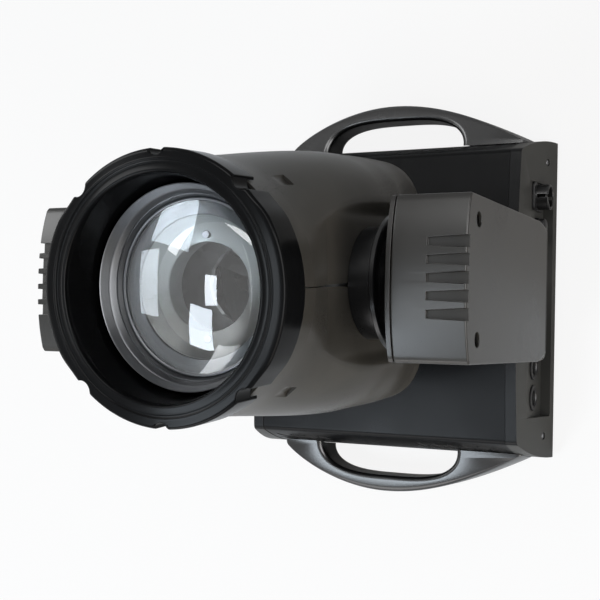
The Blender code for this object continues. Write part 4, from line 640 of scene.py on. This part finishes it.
def lofted(name, sections, cap=lambda row: [row]):
    """A skin over a run of closed outlines, with both ends shut by the faces that cap gives."""
    bm = bmesh.new()
    rows = [[bm.verts.new(point) for point in section] for section in sections]
    for a, b in zip(rows, rows[1:]):
        for i in range(len(a)):
            bm.faces.new((a[i], a[i - 1], b[i - 1], b[i]))
    for row in (rows[0], rows[-1]):
        for corners in cap(row):
            bm.faces.new(corners)
    return piece_of(name, bm)


def across_bow(row):
    """Quads between the bow and the grip opening at one end of a handle."""
    return [(row[i], row[i + 1], row[-i - 2], row[-i - 1]) for i in range(len(row) // 2 - 1)]


handle_black = moulded("handle_black", (0.006, 0.006, 0.0063), 0.24, grain=0.0008, depth=0.00003, shine=0.45)
levels = [(LOW + UNDER * (1 - math.cos(a)), 0.0036 * (1 - math.sin(a)))
          for a in (math.pi / 8 * i for i in range(5))]
levels += [(LOW + UNDER + (HIGH - OVER - LOW - UNDER) * i / 6, 0.0) for i in range(1, 6)]
levels += [(HIGH - OVER + OVER * math.sin(a), OVER * (1 - math.cos(a)))
           for a in (math.pi / 16 * i for i in range(9))]
for name, side in (("handle_right", 1), ("handle_left", -1)):
    sections = [[(x, y, z - SLOPE * (z - LOW) / (HIGH - LOW) * (abs(x) - flank(HIGH)))
                 for x, y in handle_ring(side, edge, z)] for z, edge in levels]
    fitted(smooth(lofted(name + "_bow", sections, across_bow), 38), "base", handle_black, name)

# Inside the base: a folded steel chassis carries the pan bearing and its geared-down stepper, beside a vented power
# supply. Sheet metal is zinc plated, turned parts are bright, and the belt is moulded rubber.
def zinc(name, colour=(0.46, 0.47, 0.48), gloss=0.36):
    """Plated sheet: pale spangle, slow dulling and fine rolling lines."""
    sheet = Finish(name, Metallic=1.0)
    spangle = sheet.node("TexVoronoi", {"Vector": sheet.place(), "Scale": 160.0}, out="Color")
    grain, dull = sheet.noise(0.0009, 3, (0.05, 1, 1)), sheet.noise(0.03, 4)
    dark, light = shades(colour, 0.8, 1.12)
    shade = sheet.node("SeparateColor", {"Color": spangle})
    return sheet.set(Base_Color=sheet.between(shade * 0.6 + dull * 0.4, dark, light),
                     Roughness=gloss + (dull - 0.5) * 0.25, Normal=sheet.bump(grain, 0.00002, 0.4))


def lathed(name, colour, gloss, middle, axis):
    """Metal turned about an axis: fine rings from the tool, a little uneven round the piece."""
    metal = Finish(name, Metallic=1.0)
    at = metal.node("VectorMath", {0: metal.place(), 1: middle}, operation="SUBTRACT")
    across = metal.node("VectorMath", {0: at, 1: axis}, operation="CROSS_PRODUCT")
    radius = metal.node("VectorMath", {0: across}, out="Value", operation="LENGTH")
    rings = metal.node("TexNoise", {"W": radius * 2600.0, "Scale": 1.0, "Detail": 2.0}, noise_dimensions="1D")
    stain = metal.noise(0.015, 5)
    dark, light = shades(colour, 0.75, 1.1)
    return metal.set(Base_Color=metal.between(rings * 0.6 + stain * 0.4, dark, light),
                     Roughness=gloss + stain * 0.14, Normal=metal.bump(rings, 0.00003, 0.4))


AXIS_Z = 0.306
dress(zinc("zinc_sheet"), "base_chassis", "power_supply", "yoke_frame")
for name, grey, gloss, middle, axis, *parts in (
        ("steel_pan", 0.52, 0.2, (0, 0, 0), (0, 0, 1), "pan_bearing", "pan_spindle", "pan_pulley"),
        ("steel_tilt", 0.52, 0.2, (0, 0, AXIS_Z), (0, 1, 0), "tilt_bearing_front", "tilt_bearing_rear",
         "tilt_pulley"),
        ("pinion_pan", 0.62, 0.25, (0, 0.078, 0), (0, 0, 1), "pan_pinion"),
        ("pinion_tilt", 0.62, 0.25, (0, 0, 0.205), (0, 1, 0), "tilt_pinion")):
    dress(lathed("turned_" + name, (grey, grey, grey + 0.01), gloss, middle, axis), *parts)
belt_rubber = Finish("belt_rubber", Specular_IOR_Level=0.3)
teeth = belt_rubber.node("TexWave", {"Vector": belt_rubber.place(), "Scale": 160.0, "Distortion": 0.0},
                         bands_direction="DIAGONAL")
tone = belt_rubber.between(teeth * 0.5, (0.012, 0.012, 0.012), (0.022, 0.022, 0.022))
dress(belt_rubber.set(Base_Color=tone, Roughness=0.6 + teeth * 0.15, Normal=belt_rubber.bump(teeth, 0.0001, 0.5)),
      "pan_belt", "tilt_belt")
dress(powder_coat("motor_black", (0.02, 0.02, 0.021), 0.42), "pan_motor", "tilt_motor")
board = Finish("green_board", Specular_IOR_Level=0.5)
tracks = board.node("TexBrick", {"Vector": board.place(), "Scale": 90.0, "Mortar Size": 0.03}, out="Fac")
patches = board.noise(0.006, 4)
lacquer = board.between(patches, (0.006, 0.07, 0.022), (0.012, 0.12, 0.04))
dress(board.set(Base_Color=board.between(tracks * 0.7, lacquer, (0.35, 0.3, 0.14)), Roughness=0.3 + patches * 0.2,
                Metallic=tracks * 0.5, Normal=board.bump(tracks, 0.00005, 0.5)), "control_board")

# Yoke covers: a belly shell slung under the yoke, and on each arm an outer tub screwed over a flat inner cover.
# Warm grey moulding; five wedge louvres fall toward each arm's outer edge and two screws sit in round wells.
arm_grey = moulded("arm_grey", (0.026, 0.0246, 0.0222), 0.3, grain=0.0008, depth=0.00004, shine=0.24, dust=0.16)
ARM_W, ARM_IN, ARM_OUT, ARM_TOP, ARM_FOOT, SEAM = 0.06, 0.126, 0.1863, 0.368, 0.158, 0.13
BELLY_Z, DECK_Z = 0.0995, 0.14


def both_sides(half):
    return half + [(-y, z) for y, z in reversed(half)]


side_view = [(0.112, BELLY_Z), (0.116, BELLY_Z + 0.0012), (ARM_OUT - 0.01, ARM_FOOT - 0.0124),
             (ARM_OUT - 0.003, ARM_FOOT - 0.0064), (ARM_OUT, ARM_FOOT - 0.0014), (ARM_OUT, ARM_FOOT - 0.0004),
             (ARM_IN, ARM_FOOT - 0.0004), (ARM_IN, DECK_Z + 0.008), (ARM_IN - 0.008, DECK_Z)]
belly = laid(pressed("belly_shell", [both_sides(side_view)], -ARM_W, ARM_W), SIDEWAYS)
rounded(belly, 0.0045, 5, 55)
hollow = [(0.111, BELLY_Z + WALL), (0.115, BELLY_Z + WALL + 0.0012), (ARM_OUT - WALL - 0.01, ARM_FOOT - 0.0124),
          (ARM_OUT - WALL, ARM_FOOT - 0.004), (ARM_OUT - WALL, ARM_FOOT + 0.02), (ARM_IN + WALL, ARM_FOOT + 0.02),
          (ARM_IN + WALL, DECK_Z - WALL)]
carved(belly, laid(pressed("hollow", [both_sides(hollow)], -ARM_W + WALL, ARM_W - WALL), SIDEWAYS),
       plug("neck", 0.0365, 0.08, 0.12, 96))


def corner_tool(side_x, side_y, foot=0.138, run=0.056, past=-0.004):
    """What is taken off where an arm's upright corner rounds into the belly; the radius dies out upward."""
    sections = []
    for z in (foot + run * i / 16 for i in range(17)):
        r = 0.0002 + 0.0095 * (1 - min(1.0, max(0.0, (z - ARM_FOOT) / 0.034))) ** 1.6
        arc = [(r - r * math.sin(a), r - r * math.cos(a)) for a in (math.pi / 16 * i for i in range(9))]
        sections.append([(side_x * (ARM_W - u), side_y * (ARM_OUT - v), z)
                         for u, v in [(past, past), (r, past)] + arc + [(past, r)]])
    return lofted("corner_tool", sections)


carved(belly, *[corner_tool(x, y) for x in (-1, 1) for y in (-1, 1)])
fitted(smooth(belly, 30), "yoke", arm_grey, "yoke_belly")


def crown(x, half=ARM_W):
    return 0.009 * (1 - abs(x / half) ** 2.4)


def arm_outline(inset=0.0, ease=0.0025):
    """An arm from its end as (x, z): upper corners eased, top edge crowned."""
    half, high = ARM_W - inset, ARM_TOP - inset
    side = [(half, ARM_FOOT)] + [(half - ease + ease * math.cos(a), high - ease + ease * math.sin(a))
                                 for a in (math.pi / 12 * i for i in range(6))]
    top = [(x, high + crown(x, half)) for x in ((half - ease) * (1 - i / 20.5) for i in range(21))]
    return both_sides(side + top)


LOUVRE_STEP, LOUVRE_Y, LOUVRE_SINK, LOUVRE_FALL = 0.0127, -0.1567, 0.0026, math.atan(0.0036 / 0.0296)
WEDGE = ((-0.0028, 0.0), (0.0028, 0.0), (0.0048, -0.0396), (-0.0048, -0.0396))
WELL_X, WELL_Z, WELL_SINK, HEAD_SINK = 0.0425, 0.3505, 0.0035, 0.0005
for name, side in (("front", -1), ("rear", 1)):
    turn = Matrix.Rotation(math.pi if side > 0 else 0.0, 4, "Z")
    tub = laid(pressed("arm_tub_" + name, [arm_outline()], SEAM, ARM_OUT), UPRIGHT)
    rounded(tub, 0.0016, 4, 55)
    inner = [(x, z - 0.0062 if z > ARM_FOOT + 0.01 else z - 0.02) for x, z in arm_outline(WALL)]
    carved(tub, laid(pressed("room", [inner], SEAM - 0.01, ARM_OUT - WALL), UPRIGHT))
    for x in (LOUVRE_STEP * i for i in range(-2, 3)):
        place = Matrix.Translation((0, LOUVRE_Y, ARM_TOP + crown(x) - LOUVRE_SINK))
        louvre = pressed("louvre", [[(x + u, v) for u, v in WEDGE]], 0.0, 0.02)
        carved(tub, laid(louvre, place @ Matrix.Rotation(LOUVRE_FALL, 4, "X")))
    carved(tub, corner_tool(-1, -1), corner_tool(1, -1))
    for x in (-WELL_X, WELL_X):
        place = Matrix.Translation((x, -ARM_OUT + WELL_SINK, WELL_Z)) @ UPRIGHT
        well = turned("well", [(0, -HEAD_SINK), (0.0054, -HEAD_SINK), (0.006, 0.01), (0, 0.01)], 48)
        carved(tub, laid(well, place))
        screw_head("arm_screw_%s_%s" % (name, "right" if x > 0 else "left"), 0.0034, "yoke",
                   turn @ place @ Matrix.Translation((0, 0, -HEAD_SINK)))
    fitted(laid(rounded(tub, 0.0004, 2, 40, clamp=False), turn), "yoke", arm_grey, "arm_cover_" + name)
    liner = pressed("arm_inner_" + name, [arm_outline(0.0002), ring(0.0183, y=AXIS_Z)], ARM_IN, SEAM - 0.0004)
    fitted(laid(rounded(laid(liner, UPRIGHT), 0.0007, 3, 55), turn), "yoke", arm_grey, "arm_liner_" + name)

# Head shell: two mirrored halves of semi-gloss grey moulding that meet in the plane of the tilt axis. Round at the
# mouth and squarer behind, hollowed to a flat beside each hub, with a short scoop on each shoulder.
HEAD = Matrix.Translation((0, 0, AXIS_Z)) @ Matrix.Rotation(math.radians(-4.6), 4, "Y")
MOUTH, TAIL, MOUTH_R = 0.145, -0.104, 0.0925
FLAT_Y, FLAT_TOP, FLAT_RUN, FLAT_FOOT = 0.0845, 0.114, 0.036, 0.078
SCOOP_AT, SHELL_STEPS = 0.68, 160


def eased(low, high, value):
    t = min(1.0, max(0.0, (value - low) / (high - low)))
    return t * t * (3 - 2 * t)


def shell_point(angle, z, inset=0.0, hollow=True):
    """A point of the head's skin, set inward by inset, with or without the flats beside the hubs."""
    grow, taper = eased(0.15, -0.03, z), eased(-0.045, TAIL, z)
    power = 2.0 + 1.1 * eased(0.12, -0.02, z) + 0.9 * eased(-0.02, TAIL, z)
    c, s = math.cos(angle), math.sin(angle)
    x = (MOUTH_R + 0.0155 * grow - inset) * math.copysign(abs(c) ** (2 / power), c)
    y = (MOUTH_R + 0.005 * grow - 0.008 * taper - inset) * math.copysign(abs(s) ** (2 / power), s)
    if hollow:
        depth = min(1.0, max(0.0, (FLAT_TOP - z) / FLAT_RUN)) * eased(0.068, 0.053, abs(x))
        if abs(y) > FLAT_Y - inset:
            y -= math.copysign((abs(y) - FLAT_Y + inset) * depth, y)
    return x, y, z


def spread(steps):
    """Evenly spaced angles from -Y over +X to +Y, stopping just short of both ends."""
    return [-math.pi / 2 + 0.0038 + (math.pi - 0.0076) * i / steps for i in range(steps + 1)]


head_grey = moulded("head_grey", (0.05, 0.047, 0.0415), 0.3, grain=0.0008, depth=0.00004, shine=0.11, dust=0.2)


def shell_bar(angle, half=0.09, outer=0.0012, inner=0.0058, foot=0.086, top=0.112):
    """A pad behind the skin, where a scoop would break through it."""
    turns = [angle + half * share for share in (-1, -0.5, 0, 0.5, 1)]
    return lofted("shell_bar", [[shell_point(a, z, outer, False) for a in turns]
                                + [shell_point(a, z, inner, False) for a in reversed(turns)]
                                for z in (foot, (foot + top) / 2, top)])


def scoop(angle, half=0.065, foot=0.09, top=0.108, deep=0.003, steps=16):
    """What is scooped out of a shoulder: deepest at its foot, where an upright wall ends it, and shallow above."""
    turns = [half * (2 * i / steps - 1) for i in range(steps + 1)]
    sections = []
    for z in (foot + (top - foot) * i / 12 for i in range(13)):
        depth = deep * (1 - (z - foot) / (top - foot)) ** 1.3 - 0.0002
        dips = [(t, depth * (1 - abs(t / half) ** 3) - 0.00005) for t in reversed(turns)]
        sections.append([shell_point(angle + t, z, -0.004, False) for t in turns]
                        + [shell_point(angle + t, z, dip, False) for t, dip in dips])
    return lofted("scoop", sections)


heights = [MOUTH + (FLAT_TOP - MOUTH) * i / 8 for i in range(9)]
heights += [FLAT_TOP - FLAT_RUN * i / 12 for i in range(1, 13)]
heights += [FLAT_FOOT + (TAIL - FLAT_FOOT) * i / 48 for i in range(1, 49)]
for name, side in (("head_cover_right", 1), ("head_cover_left", -1)):
    bm = bmesh.new()
    rows = [[bm.verts.new(shell_point(a, z)) for a in spread(SHELL_STEPS)] for z in heights]
    for low, high in zip(rows, rows[1:]):
        for i in range(SHELL_STEPS):
            bm.faces.new((low[i], high[i], high[i + 1], low[i + 1]))
    shell = piece_of(name + "_shell", bm)
    wall = shell.modifiers.new("wall", "SOLIDIFY")
    wall.thickness, wall.offset, wall.use_even_offset = WALL, -1, True
    applied(shell)
    carved(shell, laid(plug("hub_way", 0.036, -0.3, 0.3, 96), UPRIGHT))
    carved(shell, shell_bar(-SCOOP_AT), shell_bar(SCOOP_AT), operation="UNION")
    carved(shell, scoop(-SCOOP_AT), scoop(SCOOP_AT))
    laid(shell, Matrix.Scale(side, 4, (1, 0, 0)))
    smooth(shell, 24)
    for edge in shell.data.edges:
        ends = [shell.data.vertices[i].co for i in edge.vertices]
        edge.use_edge_sharp |= all(abs(end.z - FLAT_TOP) < 0.00002 and abs(end.x) < 0.06
                                   and end.xy.length > 0.091 for end in ends)
    fitted(shell, "head", head_grey, name, frame=HEAD)

# Rear cover: a cup in the same grey moulding, that carries on the shell's outline and closes the head behind.
# The fan blows out through a slotted grille in its end.
TIP = -0.1385
DEEP = TIP - TAIL


def cup(name, inset, steps, count=144):
    """The shell's outline at its tail, drawn in and back by steps of (share of the depth, shrink)."""
    return lofted(name, [[shell_point(math.tau * i / count, TAIL, shrink + inset, False)[:2]
                          + (TAIL + share * DEEP + inset,) for i in range(count)] for share, shrink in steps])


run = ((0.015, 0.0), (0.14, 0.0022), (0.26, 0.0065), (0.45, 0.0138), (0.64, 0.022), (0.79, 0.0288),
       (0.885, 0.034), (0.96, 0.0378), (1.0, 0.04))
rear = carved(cup("rear_cup", 0.0, run), cup("cup_room", WALL, ((-0.3, 0.0),) + run[2:]))
grille = [oblong(0.0019, 0.013 + 0.01 * math.sqrt(max(0, 1 - (x / 0.04) ** 2)), x=x, corner=0.0015, steps=4)
          for x in (0.0075 * i for i in range(-4, 5))]
carved(rear, pressed("grille", grille, TIP - 0.01, TIP + 0.01))
fitted(smooth(rear, 28), "head", head_grey, "rear_cover", frame=HEAD)

# Front bezel: a heavy black ring over the shell's mouth. A thin bead and a shallow step run round its face, and its
# rim is scalloped at the four fixing screws and notched at top and bottom.
bezel_black = moulded("bezel_black", (0.0032, 0.0034, 0.0038), 0.2, grain=0.0008, depth=0.000015, shine=0.05,
                      dust=0.04)
RIM, TOP, FOOT, BORE, SHOULDER = 0.0955, 0.166, 0.137, 0.0775, 0.0935
RIM_ROUND, SCALLOP_AT = 0.003, 0.0985
face = [(radius, TOP - sink) for radius, sink in (
    (0.0789, 0.0012), (0.0795, 0.0004), (0.0803, 0.0001), (0.0812, 0.0004), (0.0836, 0.0009), (0.0852, 0.001),
    (0.0858, 0.0007), (0.0864, 0.001), (0.087, 0.0009), (0.0874, 0.0002), (0.088, 0.0), (0.0886, 0.0002),
    (0.0892, 0.0003), (0.0925, 0.0006))]
rim = [(0.0925 + RIM_ROUND * math.sin(a), TOP - RIM_ROUND - 0.0006 + RIM_ROUND * math.cos(a))
       for a in (math.pi / 12 * i for i in range(1, 7))]
bezel = turned("bezel_ring", face + rim + [
    (RIM, FOOT + 0.0006), (RIM - 0.0006, FOOT), (SHOULDER, FOOT), (SHOULDER, MOUTH + 0.0004),
    (0.08, MOUTH + 0.0004), (0.079, 0.126), (BORE - 0.0005, 0.126), (BORE, TOP - 0.005)], 240)
for vertex in bezel.data.vertices:
    x, y, z = vertex.co
    if math.hypot(x, y) > 0.0938:
        off = math.degrees(math.asin(min(1.0, abs(y) / math.hypot(x, y))))
        grow = 1 + 0.0018 * eased(50, 62, off) / RIM
        vertex.co = (x * grow, y * grow, z)
for turn in (43, 137, 223, 317):
    a = math.radians(turn)
    carved(bezel, laid(plug("scallop", 0.0078, 0.12, 0.2),
                       Matrix.Translation((SCALLOP_AT * math.cos(a), SCALLOP_AT * math.sin(a), 0))))
for side in (-1, 1):
    carved(bezel, laid(plug("notch", 0.0052, 0.12, 0.2, 32), Matrix.Translation((side * RIM, 0, 0))))
fitted(rounded(bezel, 0.0006, 3, 50, clamp=False), "head", bezel_black, "front_bezel", frame=HEAD)

# Tilt hubs: turned black hubs bolted to the head chassis. A flat disc stands proud of the shell, and a short neck and
# hollow shaft go on into the arm.
hub_black = moulded("hub_black", (0.006, 0.0062, 0.007), 0.3, grain=0.0007, depth=0.00003, shine=0.25, dust=0.15)
hub_side = [(0.01, 0.158), (0.017, 0.158), (0.0175, 0.1575), (0.0175, 0.1252), (0.0334, 0.1252), (0.034, 0.1246),
            (0.034, 0.1115), (0.0348, 0.1105), (0.044, 0.1105), (0.0444, 0.11), (0.0452, 0.11),
            (0.0456, 0.1105), (0.0515, 0.1105), (0.053, 0.1101), (0.054, 0.1092), (0.054, 0.1062),
            (0.0533, 0.1055), (0.045, 0.1038), (0.044, 0.1025), (0.044, 0.0849), (0.035, 0.0849),
            (0.035, 0.0804), (0.01, 0.0804)]
for name, side in (("front", -1), ("rear", 1)):
    hub = laid(turned("hub_" + name, hub_side, 144), Matrix.Rotation(-side * math.pi / 2, 4, "X"))
    fitted(smooth(hub, 30), "head", hub_black, "tilt_hub_" + name, frame=HEAD)

# Focus barrel: black anodised and turned, on two ground rods. Its rim falls in a cone with eight fine ridges to the
# lens, which a threaded ring holds. Behind the glass the cone is bare metal, with painted light toward +X and painted
# shade toward -X.
anodised = Finish("black_anodised", Metallic=0.35, Specular_IOR_Level=0.6)
at = anodised.place()
off_axis = anodised.node("VectorMath", {0: at, 1: (0, 0, 1)}, operation="CROSS_PRODUCT")
radius = anodised.node("VectorMath", {0: off_axis}, out="Value", operation="LENGTH")
cuts = anodised.node("TexNoise", {"W": radius * 3000.0, "Scale": 1.0, "Detail": 2.0}, noise_dimensions="1D")
stain = anodised.noise(0.02, 4)
across = anodised.node("SeparateXYZ", {"Vector": at}, out="X")
height = anodised.node("SeparateXYZ", {"Vector": at}, out="Z")
bare = (radius < 0.0495) * (height < 0.1072)
black = anodised.between(cuts * 0.6 + stain * 0.4, (0.034, 0.036, 0.04), (0.085, 0.09, 0.098))
# Painted light and shade: the bare metal goes from near black at -X to light grey at +X, wavering a little with the
# stain.
painted_side_shade = anodised.ramp(across + (stain - 0.5) * 0.03, -0.024, 0.02)
bare_with_painted_shade = anodised.between(painted_side_shade * 0.85 + cuts * 0.15, (0.014, 0.013, 0.01), (0.24, 0.262, 0.266))
anodised = anodised.set(Base_Color=anodised.between(bare, black, bare_with_painted_shade), Roughness=0.26 + stain * 0.14,
                        Normal=anodised.bump(cuts, 0.00003, 0.4))
FRONT, BACK, SEAT, LENS_R, HOOD_R, TUBE_R, ROD_X = 0.1336, 0.084, 0.1118, 0.064, 0.0738, 0.0705, 0.0345
cone = [(0.0644, SEAT + 0.005), (0.0655, 0.119), (0.0665, 0.1212), (0.0671, 0.1213), (0.0671, 0.1222),
        (0.0668, 0.1224), (0.069, 0.1259), (0.0694, 0.1264), (0.07, 0.1268)]
for i in range(8):
    r, z = 0.0702 + 0.0029 * i / 8, 0.127 + 0.0062 * i / 8
    cone += [(r - 0.0001, z), (r + 0.0004, z + 0.0001), (r + 0.0004, z + 0.0004), (r + 0.0001, z + 0.00055)]
rim = [(0.0732, FRONT - 0.0002), (0.0734, FRONT), (0.0737, FRONT - 0.0002), (HOOD_R, FRONT - 0.0006),
       (HOOD_R, FRONT - 0.0058), (HOOD_R - 0.0003, FRONT - 0.0064), (TUBE_R, FRONT - 0.0106)]
barrel = turned("barrel_tube", cone + rim + [
    (TUBE_R, BACK + 0.0006), (0.0699, BACK), (0.029, BACK), (0.029, 0.0982), (0.0296, 0.099), (0.049, 0.105),
    (0.0494, 0.1068), (0.05, 0.1074), (0.0606, 0.108), (0.061, SEAT - 0.0015), (0.061, SEAT - 0.0004),
    (0.0644, SEAT - 0.0004)], 180)
for x in (-ROD_X, ROD_X):
    carved(barrel, laid(plug("rod_way", 0.0029, BACK - 0.01, SEAT, 32), Matrix.Translation((x, 0, 0))))
fitted(smooth(barrel, 25), "focus_carriage", anodised, "lens_barrel", frame=HEAD)
retainer = turned("lens_ring", [(0.062, 0.1176), (0.0626, 0.1181), (0.0636, 0.1183), (0.0642, 0.1181),
                                (0.0643, 0.1176), (0.0643, 0.1168), (0.0632, 0.1169)], 180)
fitted(smooth(retainer, 30), "focus_carriage", anodised, frame=HEAD)
dress(lathed("ground_rod", (0.16, 0.16, 0.17), 0.3, (0, 0, 0), (0, 0, 1)), "guide_rod_right", "guide_rod_left")

# Front lens: ground and coated plano-convex glass, flat on its seat in the barrel, with a domed face.
# The coating is a little uneven, so its gloss varies over the glass.
glass = Finish("coated_glass", Transmission_Weight=1.0, IOR=1.52, Specular_IOR_Level=0.38, Coat_Roughness=0.01,
               Coat_IOR=1.5)
smear = glass.noise(0.018, 6)
glass = glass.set(Base_Color=glass.between(smear, (0.93, 0.96, 0.97), (0.98, 0.99, 1.0)),
                  Roughness=glass.ramp(smear, 0.55, 0.8, 0.0, 0.03),
                  Coat_Weight=glass.ramp(smear, 0.3, 0.7, 0.05, 0.2))
EDGE, DOME, STEPS = 0.0045, 0.015, 32
sphere = (LENS_R ** 2 + DOME ** 2) / (2 * DOME)
curve = []
for i in range(STEPS + 1):
    a = math.asin(LENS_R / sphere) * i / STEPS
    curve.append((sphere * math.sin(a), SEAT + EDGE + DOME - sphere + sphere * math.cos(a)))
lens = turned("lens_glass", curve + [(LENS_R, SEAT + 0.0005), (LENS_R - 0.0005, SEAT), (0, SEAT)], 180)
fitted(smooth(lens, 30), "focus_carriage", glass, "front_lens", frame=HEAD)

# Head chassis and optics: a welded aluminium ladder between the hubs holds the prism lever, the wheels, the
# shutter, the short-arc lamp in its glass reflector and, behind them, the fan.
dress(zinc("brushed_aluminium", (0.6, 0.61, 0.62), 0.32), "head_frame", "prism_arm", "shutter_flag")
dress(lathed("wheel_metal", (0.4, 0.41, 0.43), 0.3, (0, 0, AXIS_Z), (0, 0, 1)), "gobo_wheel", "colour_wheel")
dress(glass, "prism")
mirror = Finish("cold_mirror", Metallic=1.0)
haze = mirror.noise(0.006, 5)
dress(mirror.set(Base_Color=mirror.between(haze, (0.78, 0.8, 0.84), (0.92, 0.93, 0.95)),
                 Roughness=0.05 + haze * 0.1), "reflector")
ceramic = Finish("lamp_ceramic", Specular_IOR_Level=0.5)
fired = ceramic.noise(0.002, 4)
dress(ceramic.set(Base_Color=ceramic.between(fired, (0.62, 0.6, 0.55), (0.8, 0.79, 0.75)),
                  Roughness=0.2 + fired * 0.3, Normal=ceramic.bump(fired, 0.00005, 0.4)), "lamp")
dress(moulded("fan_black", (0.014, 0.014, 0.015), 0.42, grain=0.0006, depth=0.00003, dust=0.4),
      "fan_housing", "fan_rotor")
